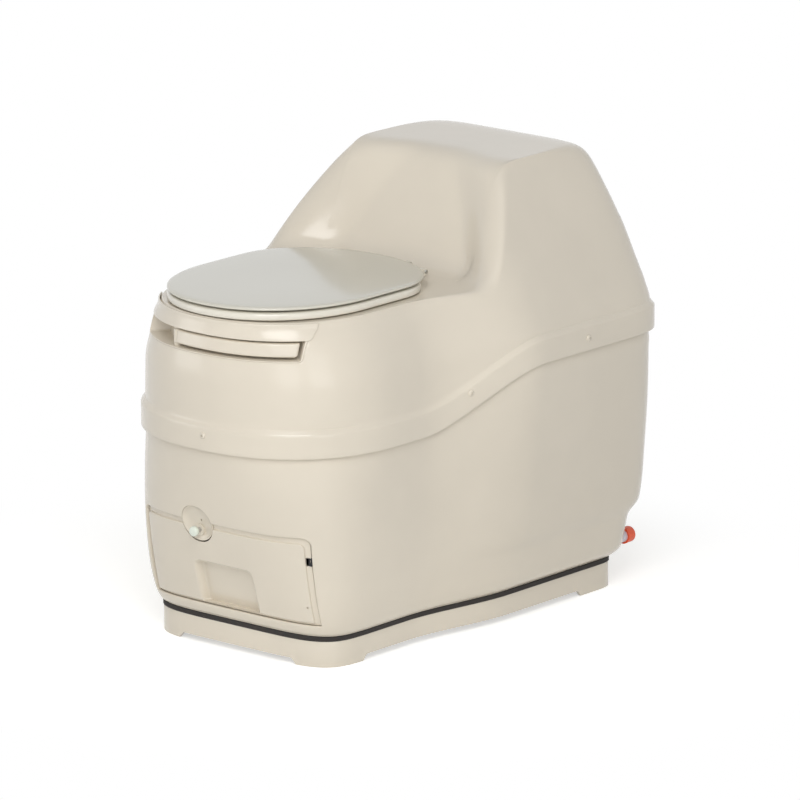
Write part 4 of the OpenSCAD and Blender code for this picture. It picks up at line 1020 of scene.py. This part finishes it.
@dataclass
class CrankHandle:
    """The folded crank: a bar along the bowl with a knuckle on its pin."""

    bar: Rect = Rect(-56.0, 146.0, 488.0, 509.0, 4.0, 2.4)
    knuckle_r: float = 6.5
    pin_r: float = 3.05

    def build(self) -> Obj:
        """Makes the bar with eased edges and joins the knuckle round the pin."""
        loops = (
            (-2.2, -13.0), (-0.8, -12.6), (0.0, -11.2), (0.0, -4.2), (-0.5, -2.9), (-1.4, -2.0), (-2.8, -1.5),
        )  # fmt: skip
        bar = front_block("drum_handle_piece", Skin.BOWL, self.bar, loops, 3.0)
        low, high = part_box("handle_pin")
        pin = ((low[0] + high[0]) / 2.0 / MM, (low[1] + high[1]) / 2.0 / MM, 0.0)
        cut(bar, rod(self.knuckle_r, self.bar.z0, self.bar.z1, pin, "z", 64), join=True)
        cut(bar, rod(self.pin_r, self.bar.z0 - 1, self.bar.z1 + 1, pin, "z", 64))
        return soften(bar)


# ---- seat, lid and liner


def lug(xs: Spot, y0: float, tall: Spot) -> Obj:
    """Returns a hinge lug: a round eye with an arm to the panel's edge."""
    a = np.linspace(-math.pi / 2, math.pi / 2, 25)
    eye = np.array(HINGE[1:]) + EYE_R * np.stack([np.cos(a), np.sin(a)], -1)
    side = np.concatenate([eye, [[y0, max(tall)], [y0, min(tall)]]])
    return loft("lug", [np.column_stack([np.full(len(side), x), side]) for x in xs])


def hinge_bore() -> Obj:
    """Returns the cutter of the bores that the hinge pins pass."""
    return rod(HINGE_BORE, -120, 120, HINGE, "x", 48)


@dataclass
class SeatRing:
    """The seat, with its opening and the two hinge lugs."""

    plan: Plan = Plan(165, -200, 188, 2.12, 165, -112, 110, 2.25)
    hole: Plan = Plan(112, -190, 112, 2.2, 108, -150, 66, 2.3)
    z0: float = 540.0
    z1: float = 552.0

    def build(self) -> Obj:
        """Makes the ring with rolled edges and joins the lugs."""
        a, b, cols = self.z0, self.z1, TRIM_COLUMNS
        under = self.hole.stack(((3.0, a), (8.0, a)), cols)
        outside = self.plan.stack((
            (-8.0, a), (-2.4, a), (-0.9, a + 0.5), (-0.1, a + 1.6), (0.0, a + 3.0), (0.0, b - 4.4),
            (-0.35, b - 3.0), (-1.4, b - 1.7), (-3.2, b - 0.8), (-6.0, b - 0.3), (-10.0, b - 0.05),
            (-14.0, b), (-26.0, b),
        ), cols)  # fmt: skip
        inside = self.hole.stack((
            (14.0, b), (8.0, b - 0.2), (4.0, b - 0.9), (1.6, b - 2.2), (0.3, b - 4.0), (0.0, a + 4.0),
            (0.8, a + 1.2),
        ), cols)  # fmt: skip
        ring = loft("seat_ring_piece", (under + outside + inside)[::-1], closed=True)
        for xs in ((85.0, 97.0), (-97.0, -85.0)):
            cut(ring, lug(xs, -45.0, (a + 2.2, a + 9.0)), join=True)
        return soften(cut(ring, hinge_bore()))


@dataclass
class SeatLid:
    """The slightly crowned lid with its two hinge lugs."""

    plan: Plan = Plan(165, -200, 188, 2.12, 143, -112, 134, 2.06)
    z0: float = 554.0
    arm_y: float = -14.0

    def build(self) -> Obj:
        """Makes the lid with rolled edges and joins the lugs."""
        z, (_, y, eye_z) = self.z0, HINGE
        steps = (
            (100.0, 0.0), (80.0, 0.0), (60.0, 0.0), (20.0, 0.3), (5.2, 0.9), (2.9, 1.1), (1.1, 1.5),
            (0.25, 2.1), (0.0, 2.8), (0.0, 3.4), (0.3, 4.5), (1.1, 5.4), (2.4, 6.1), (4.4, 6.6),
            (8.0, 6.95), (13.0, 7.2), (24.0, 7.6), (40.0, 8.1), (60.0, 8.5), (80.0, 8.72), (92.0, 8.8),
            (104.0, 8.8),
        )  # fmt: skip
        lid = loft("seat_lid_piece", self.plan.stack([(-d, z + up) for d, up in steps], TRIM_COLUMNS))
        for xs in ((55.0, 65.0), (-65.0, -55.0)):
            cut(lid, lug(xs, y - EYE_R, (eye_z, z + 1.0)), join=True)
            for y0, z0, z1 in ((self.arm_y, z + 0.5, z + 3.8), (y - 1.0, eye_z, z + 1.0)):
                cut(lid, bar_mesh((xs[0], y0, z0), (xs[1], y + EYE_R, z1)), join=True)
        return soften(cut(lid, hinge_bore()))


@dataclass
class BowlLiner:
    """The inner bowl that hangs on the deck's edge and leads to the drum."""

    port: Plan = Plan(56, -190, 76, 2.3, 56, -140, 68, 2.4)
    foot_z: float = 503.0

    def build(self) -> Obj:
        """Makes the funnel-shaped wall with its rolled rim."""
        d, foot, cols = FORM.deck_h, self.foot_z, TRIM_COLUMNS
        rings = self.port.stack(((-2.0, foot), (0.0, foot)), cols)
        rings += FORM.hole.stack((
            (-22.0, d - 20), (-12.0, d - 17.2), (-6.0, d - 14.6), (-3.8, d - 12), (-3.8, d + 0.02),
            (4.4, d + 0.02), (5.0, d + 0.5), (4.4, d + 1.3), (3.0, d + 1.5), (-4.4, d + 1.5),
            (-5.5, d + 1.1), (-5.8, d + 0.2), (-5.8, d - 11), (-8.0, d - 13.0), (-14.0, d - 15.6),
            (-24.0, d - 18),
        ), cols)  # fmt: skip
        return soften(loft("bowl_liner_piece", rings[::-1], closed=True))


# ---- base, lock and service ends


@dataclass
class Base:
    """The base tray with its arched skirt, and the gasket on it."""

    plan: Plan = Plan(183, -190, 127, 5, 209, 200, 148, 14)
    tray_h: float = 41.0
    floor_z: float = 30.0
    floor_t: float = 4.0
    foot_w: float = 62.0
    arch_h: float = 10.0
    arch_y: float = 14.0
    shoulder: float = 14.0
    screw_spots: Table = ((-150, -150), (150, -150), (-150, 190), (150, 190))

    def tray(self) -> Obj:
        """Makes the tray with eased edges and cuts the arches."""
        top, floor, low, w = self.tray_h, self.floor_z, self.floor_z - self.floor_t, -FORM.wall
        steps = (
            (w - 112.0, low), (w - 80.0, low), (w - 30.0, low), (w, low), (w, 0.0), (-1.6, 0.0),
            (-0.5, 0.4), (0.0, 1.6), (0.0, top - 1.4), (-0.4, top - 0.3), (-1.2, top), (w, top),
            (w, floor + 2), (w - 2.0, floor), (w - 30.0, floor), (w - 80.0, floor), (w - 112.0, floor),
        )  # fmt: skip
        tray = loft("base_tray_piece", self.plan.stack(steps, BODY_COLUMNS))
        cut(tray, self.arch(self.plan.nose_w - self.foot_w))
        cut(tray, self.arch(self.plan.nose_d + self.plan.tail_y - self.arch_y - self.foot_w, self.arch_y))
        for x, y in self.screw_spots:
            cut(tray, rod(2.02, low - 1, low + 3, (x, y, 0.0), "z", 24))
        return soften(tray)

    def arch(self, half: float, middle: float | None = None) -> Obj:
        """Returns a cutter that runs under the skirt, with soft shoulders.

        Args:
            half: Half its width.
            middle: Its middle along Y if it runs along X. Without it, it runs along Y.

        Returns:
            The cutter.
        """
        rise = self.arch_h + 1.0
        side = [(-half + self.shoulder * t, -1.0 + rise * float(smooth(t))) for t in np.linspace(0, 1, 14)]
        across, z = np.array(side + [(-x, z) for x, z in side[::-1]]).T
        rings = []
        for end in (-450.0, 450.0):
            along = np.full(len(z), end)
            rings.append(
                np.column_stack([across, along, z] if middle is None else [along, across + middle, z])
            )
        return loft("arch", rings)

    def gasket(self) -> Obj:
        """Makes the squeezed foam strip, which bulges a little."""
        a, b, w = self.tray_h, FORM.shell_z0, -FORM.wall
        steps = (
            (w, a), (0.2, a), (0.9, a + 0.8), (1.0, a + 2.2), (0.75, a + 4.0), (1.0, b - 2.2),
            (0.9, b - 0.8), (0.2, b), (w, b),
        )  # fmt: skip
        return soften(
            loft("base_gasket_piece", self.plan.stack(steps, BODY_COLUMNS)[::-1], closed=True), 50.0
        )


@dataclass
class DrumLock:
    """The round dish, flush with the wall, and the small rounded knob in it."""

    sink: float = 1.5
    guide_r: float = 9.0
    knob_out: float = 2.2

    def dish(self) -> Obj:
        """Makes the dish with its rolled rim, guide tube and small hole."""
        profile = (
            (0.4, 8.0), (8.0, 7.9), (14.0, 7.5), (19.0, 6.4), (23.5, 4.7), (26.6, 2.2), (27.8, 0.9),
            (28.4, 0.1), (28.9, -0.15), (29.4, -0.1), (29.8, 0.3), (30.0, 1.0), (30.0, 5.0), (26.0, 9.0),
            (15.0, 12.0), (0.4, 12.0),
        )  # fmt: skip
        sunk, (x, y, z) = [(r, d + self.sink) for r, d in profile], DISH
        dish = turned("lock_dish_piece", sunk, DISH, tilt=DISH_TILT, steps=96)
        cut(dish, rod(self.guide_r, y + 9, y + 34, LOCK), join=True)
        cut(
            dish,
            rod(4.05, y - 20, y + 40, LOCK, steps=48),
            rod(1.6, y - 2, y + 30, (x + 2, 0.0, z + 4), steps=24),
        )
        return soften(dish, 30.0)

    def knob(self) -> Obj:
        """Makes the knob with a soft crown and the rod's bore."""
        y = DISH[1] + self.knob_out
        profile = (
            (0.3, -11.0), (2.5, -10.95), (4.4, -10.75), (5.8, -10.3), (6.9, -9.4), (7.6, -8.2), (8.05, -6.8),
            (8.2, -5.2), (8.0, -3.8), (7.2, -2.2), (6.2, -0.9), (5.2, -0.1), (4.6, 0.0), (0.3, 0.0),
        )  # fmt: skip
        knob = turned("lock_knob_piece", [(r, y + d) for r, d in profile], LOCK, steps=64)
        return soften(cut(knob, rod(4.0, y - 6, y + 1, LOCK, steps=48)), 30.0)


class ServiceEnds:
    """The capped drain stub and the vent collar at the rear."""

    def stub(self) -> Obj:
        """Makes the drain stub with an eased end."""
        profile = (
            (7.5, 336.0), (9.6, 336.0), (10.0, 336.5), (10.0, 383.4), (9.6, 384.0), (7.9, 384.0),
            (7.5, 383.6),
        )  # fmt: skip
        return soften(turned("drain_stub_piece", profile, DRAIN, steps=96, closed=True), 30.0)

    def cap(self) -> Obj:
        """Makes the push-on cap with its rim and rounded end."""
        profile = (
            (0.4, 384.3), (9.8, 384.3), (10.05, 384.0), (10.05, 381.2), (10.3, 381.0), (11.2, 381.0),
            (12.9, 381.0), (13.2, 381.4), (13.2, 384.2), (12.7, 384.8), (12.7, 396.6), (12.3, 398.2),
            (11.2, 399.4), (9.6, 400.0), (0.4, 400.0),
        )  # fmt: skip
        return soften(turned("drain_cap_piece", profile, DRAIN, steps=96), 30.0)

    def collar(self) -> Obj:
        """Makes the vent collar with its inner flange and the pipe's stop."""
        profile = (
            (28.0, 348.0), (46.4, 348.0), (47.0, 348.6), (47.0, 351.4), (46.6, 352.0), (33.0, 352.0),
            (33.0, 404.8), (32.6, 406.4), (31.9, 407.0), (31.0, 407.0), (30.5, 406.6), (30.3, 405.8),
            (30.3, 393.0), (28.0, 393.0),
        )  # fmt: skip
        return soften(turned("vent_collar_piece", profile, VENT, steps=96, closed=True), 30.0)


# ---- screws


@dataclass
class Scatter:
    """A Geometry Nodes tree that puts one piece on each point.

    Each point's turn about Z comes from the named attribute, and a small
    random turn about the piece's own axis from a fixed seed.
    """

    spin: float = 1.2
    seed: int = 7

    def tree(self, material: bpy.types.Material) -> bpy.types.NodeTree:
        """Builds the tree with its named inputs."""
        tree = bpy.data.node_groups.new("scatter", "GeometryNodeTree")
        for name, way, kind in (
            ("Points", "INPUT", "Geometry"), ("Piece", "INPUT", "Object"), ("Spin", "INPUT", "Float"),
            ("Seed", "INPUT", "Int"), ("Pieces", "OUTPUT", "Geometry"),
        ):  # fmt: skip
            tree.interface.new_socket(name, in_out=way, socket_type="NodeSocket" + kind)
        given = tree.nodes.new("NodeGroupInput").outputs
        turn = add_node(tree, "GeometryNodeInputNamedAttribute", data_type="FLOAT", Name="turn")
        chance = add_node(tree, "FunctionNodeRandomValue", data_type="FLOAT", Seed=given["Seed"])
        least, most = (s for s in chance.inputs if s.type == "VALUE" and s.name in ("Min", "Max"))
        least.default_value = 0.0
        tree.links.new(given["Spin"], most)
        value = next(s for s in chance.outputs if s.type == "VALUE")
        about = add_node(tree, "ShaderNodeCombineXYZ", X=value, Z=turn.outputs["Attribute"])
        piece = add_node(tree, "GeometryNodeObjectInfo", Object=given["Piece"])
        placed = add_node(
            tree, "GeometryNodeInstanceOnPoints", Points=given["Points"],
            Instance=piece.outputs["Geometry"], Rotation=about.outputs["Vector"],
        )  # fmt: skip
        real = add_node(tree, "GeometryNodeRealizeInstances", Geometry=placed.outputs["Instances"])
        paint = add_node(
            tree, "GeometryNodeSetMaterial", Geometry=real.outputs["Geometry"], Material=material
        )
        add_node(tree, "NodeGroupOutput", Pieces=paint.outputs["Geometry"])
        return tree

    def build(self, name: str, points: np.ndarray, turns: np.ndarray, piece: Obj) -> Obj:
        """Returns the placed pieces as one plain mesh."""
        made = new_mesh(name, points, [])
        made.data.attributes.new("turn", "FLOAT", "POINT").data.foreach_set("value", turns.astype(np.float32))
        step = made.modifiers.new("scatter", "NODES")
        step.node_group = self.tree(Slot.SHELL.finish.material())
        sockets = step.node_group.interface.items_tree
        keys = {s.name: s.identifier for s in sockets if getattr(s, "in_out", "") == "INPUT"}
        for key, value in (("Piece", piece), ("Spin", self.spin), ("Seed", self.seed)):
            step[keys[key]] = value
        baked(made)
        bpy.data.objects.remove(piece)
        return soften(made, 30.0)


@dataclass
class ScrewSet:
    """Dome screws along the flange band, placed by Geometry Nodes."""

    nose: Spot = (12.0, 24.0)
    nose_turn: float = -88.0
    flank: Table = ((-46.0, 28.0), (188.0, 20.0))
    rear: Spot = (120.0, 20.0)

    def spots(self) -> list[tuple[Point, float]]:
        """Returns each head's seat and the turn of its outward normal."""
        band, (nose_x, nose_rise), (rear_x, rear_rise) = FORM.band, self.nose, self.rear
        x, y = band.nose_point(np.array([nose_x]), 0.0)
        out = [((x[0], y[0], FORM.band_nose_z + nose_rise), self.nose_turn)]
        for side in (1.0, -1.0):
            for at, rise in self.flank:
                before, here, after = (
                    float(mix(band.nose_w, band.tail_w, flare(v))) for v in (at - 1.0, at, at + 1.0)
                )
                turn = -math.degrees(math.atan2(after - before, 2.0))
                z = float(FORM.band_z(np.array(at))) + rise
                out.append(((side * here, at, z), turn if side > 0 else 180.0 - turn))
        power = band.tail_n
        y = band.tail_y + band.tail_d * (1 - (rear_x / band.tail_w) ** power) ** (1 / power)
        return out + [((side * rear_x, y, FORM.band_rear_z + rear_rise), 90.0) for side in (1.0, -1.0)]

    def head(self) -> Obj:
        """Makes one screw that points along X, with a cross recess in its head."""
        profile = (
            (0.2, -16.0), (2.0, -15.6), (2.0, -2.0), (4.9, -2.0), (5.0, -1.8), (5.0, 0.5), (4.8, 1.1),
            (4.2, 1.8), (3.2, 2.4), (1.8, 2.85), (0.2, 3.0),
        )  # fmt: skip
        screw = turned("screw", profile, (0.0, 0.0, 0.0), "x", steps=40)
        for turn in (20.0, 110.0):
            bar = bar_mesh((1.5, -2.3, -0.45), (4.0, 2.3, 0.45))
            bar.data.transform(Matrix.Rotation(math.radians(turn), 4, "X"))
            cut(screw, bar)
        return soften(screw, 30.0)

    def build(self) -> Obj:
        """Places a screw at every seat and returns them as one mesh."""
        points, turns = zip(*self.spots())
        return Scatter().build(
            "shell_screws_piece", np.array(points), np.radians(np.array(turns)), self.head()
        )


# ---- the whole

EASED = {
    "heater_plate": 0.3, "heater_element": 0.0, "thermostat": 0.4, "base_cover": 0.3, "handle_bracket": 0.7,
    "handle_pin": 0.3, "drive_bush": 0.3, "front_bearing": 0.4, "rear_frame": 0.6, "rear_bearing": 0.4,
    "drawer_runners": 0.4, "drawer_latch": 0.5, "drain_nut": 0.5, "fan_housing": 0.5, "fan_motor": 0.4,
    "cord_gland": 0.5, "hinge_posts": 0.8, "hinge_pins": 0.3, "hinge_nuts": 0.5, "drawer_tray": 0.8,
    "drawer_screws": 0.2, "drum_front": 0.5, "drum_rear": 0.6, "drum_gear": 0.25, "drum_axle_front": 0.4,
    "drum_axle_rear": 0.4, "drum_screen": 0.0, "drum_screws": 0.3, "drum_door_pin": 0.2, "drum_door": 0.3,
    "drive_shaft": 0.4, "drive_pinion": 0.25, "lock_rod": 0.3, "lock_spring": 0.0, "seat_bumpers": 0.4,
    "lid_bumpers": 0.4, "fan_rotor": 0.3,
}  # fmt: skip


@dataclass
class Toilet:
    """All the pieces of the toilet, each dressed for its node."""

    base: Base
    lock: DrumLock
    ends: ServiceEnds

    def build(self) -> None:
        """Builds and dresses the formed pieces, and then the eased copies."""
        formed = {
            "upper_shell": UpperShell().build, "lower_shell": LowerShell().build,
            "drawer_front": DrawerFront().build, "handle_housing": HandleHousing().build,
            "drum_handle": CrankHandle().build, "seat_ring": SeatRing().build, "seat_lid": SeatLid().build,
            "bowl_liner": BowlLiner().build, "base_tray": self.base.tray, "base_gasket": self.base.gasket,
            "lock_dish": self.lock.dish, "lock_knob": self.lock.knob, "drain_stub": self.ends.stub,
            "drain_cap": self.ends.cap, "vent_collar": self.ends.collar, "shell_screws": ScrewSet().build,
        }  # fmt: skip
        for node, make in formed.items():
            dressed(make(), node)
        for node, width in EASED.items():
            dressed(eased_copy(node, width), node)


# ---- studio

WHITE = (1.0, 1.0, 1.0, 1.0)


@dataclass(frozen=True)
class Softbox:
    """A square lamp that looks at the toilet.

    Attributes:
        turn: Where it stands round the toilet, in degrees, 0 in front.
        rise: How high it stands, in degrees.
        reach: Its distance in metres.
        size: Its width in metres.
        power: Its power in watts.
    """

    name: str
    turn: float
    rise: float
    reach: float
    size: float
    power: float


def direction(turn: float, rise: float) -> Vector:
    """Returns the way out from the toilet at a turn and a rise in degrees."""
    a, e = math.radians(turn), math.radians(rise)
    return Vector((math.sin(a) * math.cos(e), -math.cos(a) * math.cos(e), math.sin(e)))


def seen_directly(tree: bpy.types.NodeTree) -> bpy.types.NodeSocket:
    """Returns 1 for the camera's rays, those through clear parts and reflected ones."""
    path = add_node(tree, "ShaderNodeLightPath").outputs
    seen = path["Is Camera Ray"]
    for kind in ("Is Transmission Ray", "Is Glossy Ray"):
        seen = add_node(tree, "ShaderNodeMath", operation="MAXIMUM", _0=seen, _1=path[kind]).outputs["Value"]
    return seen


@dataclass
class Studio:
    """Camera, lamps, floor and white backdrop."""

    azimuth: float = 40.0
    elevation: float = 14.4
    distance: float = 12.0054
    aim: Spot = (0.0457, 0.3325)
    lens: float = 350.6
    lamp_aim: float = 0.35
    horizon: float = 0.633
    zenith: float = 0.304
    dusk: Spot = (0.1, 0.6)
    floor_size: float = 9000.0
    floor_fade: Spot = (0.42, 0.85)
    lamps: tuple[Softbox, ...] = (
        Softbox("key", 35.0, 35.0, 3.6, 2.0, 57.0),
        Softbox("low_front", 35.0, 6.0, 3.4, 1.2, 5.2),
        Softbox("low_right", 65.0, 6.0, 3.4, 1.2, 6.4),
        Softbox("low_left", -45.0, 6.0, 3.4, 1.2, 7.0),
        Softbox("top", 20.0, 80.0, 3.0, 2.4, 4.8),
    )

    def build(self) -> None:
        """Sets up the whole studio."""
        scene = bpy.context.scene
        scene.view_settings.view_transform = "Standard"
        self.camera(scene)
        for lamp in self.lamps:
            self.lamp(lamp)
        self.world(scene)
        self.floor()

    def camera(self, scene: bpy.types.Scene) -> None:
        """Places the camera as it stood for the photograph."""
        back, up = (direction(self.azimuth, self.elevation + more) for more in (0.0, 90.0))
        right = direction(self.azimuth + 90.0, 0.0)
        data = bpy.data.cameras.new("camera")
        data.lens, data.sensor_width, data.clip_end = self.lens, 36.0, 100.0
        camera = bpy.data.objects.new("camera", data)
        place = right * self.aim[0] + Vector((0, 0, self.aim[1])) + back * self.distance
        turn = Matrix((right, up, back)).transposed().to_4x4()
        camera.matrix_world = Matrix.Translation(place) @ turn
        scene.collection.objects.link(camera)
        scene.camera = camera

    def lamp(self, box: Softbox) -> None:
        """Places one lamp, turned towards the middle of the toilet."""
        data = bpy.data.lights.new(box.name, "AREA")
        data.shape, data.size, data.energy = "SQUARE", box.size, box.power
        made = bpy.data.objects.new(box.name, data)
        way = direction(box.turn, box.rise)
        made.location = way * box.reach + Vector((0.0, 0.0, self.lamp_aim))
        made.rotation_euler = way.to_track_quat("Z", "Y").to_euler()
        bpy.context.scene.collection.objects.link(made)

    def world(self, scene: bpy.types.Scene) -> None:
        """Makes a white world for the camera and reflections, and a dim one for light."""
        scene.world = bpy.data.worlds.new("studio")
        tree = cleared(scene.world)
        white = add_node(tree, "ShaderNodeBackground", Color=WHITE, Strength=1.0)
        place = add_node(tree, "ShaderNodeTexCoord")
        way = add_node(tree, "ShaderNodeSeparateXYZ", Vector=place.outputs["Generated"])
        fall = add_node(
            tree, "ShaderNodeMapRange", interpolation_type="SMOOTHSTEP", Value=way.outputs["Z"],
            From_Min=self.dusk[0], From_Max=self.dusk[1], To_Min=self.horizon, To_Max=self.zenith,
        )  # fmt: skip
        dim = add_node(tree, "ShaderNodeBackground", Color=WHITE, Strength=fall.outputs["Result"])
        both = add_node(
            tree, "ShaderNodeMixShader", Fac=seen_directly(tree), _1=dim.outputs["Background"],
            _2=white.outputs["Background"],
        )  # fmt: skip
        add_node(tree, "ShaderNodeOutputWorld", Surface=both.outputs["Shader"])

    def floor(self) -> None:
        """Lays a pale floor that looks white and keeps the shadow."""
        s = self.floor_size
        plane = new_mesh("floor", np.array([[-s, -s, 0], [s, -s, 0], [s, s, 0], [-s, s, 0]]), [(0, 1, 2, 3)])
        made = bpy.data.materials.new("floor")
        tree = cleared(made)
        matt = add_node(tree, "ShaderNodeBsdfDiffuse", Color=linear("#F4F4F2"))
        glow = add_node(tree, "ShaderNodeEmission", Color=WHITE, Strength=0.5)
        lift = add_node(tree, "ShaderNodeAddShader", _0=matt.outputs["BSDF"], _1=glow.outputs["Emission"])
        pure = add_node(tree, "ShaderNodeEmission", Color=WHITE, Strength=1.0)
        place = add_node(tree, "ShaderNodeTexCoord")
        reach = add_node(tree, "ShaderNodeVectorMath", operation="LENGTH", _0=place.outputs["Object"])
        away = add_node(
            tree, "ShaderNodeMapRange", interpolation_type="SMOOTHSTEP", Value=reach.outputs["Value"],
            From_Min=self.floor_fade[0], From_Max=self.floor_fade[1],
        )  # fmt: skip
        fade = add_node(
            tree, "ShaderNodeMixShader", Fac=away.outputs["Result"], _1=lift.outputs["Shader"],
            _2=pure.outputs["Emission"],
        )  # fmt: skip
        both = add_node(
            tree, "ShaderNodeMixShader", Fac=seen_directly(tree), _1=matt.outputs["BSDF"],
            _2=fade.outputs["Shader"]
        )
        add_node(tree, "ShaderNodeOutputMaterial", Surface=both.outputs["Shader"])
        plane.data.materials.append(made)


def main() -> None:
    """Builds the scene."""
    logging.basicConfig(level=logging.INFO, format="%(name)s: %(message)s")
    Toilet(Base(), DrumLock(), ServiceEnds()).build()
    Studio().build()


if __name__ == "__main__":
    main()
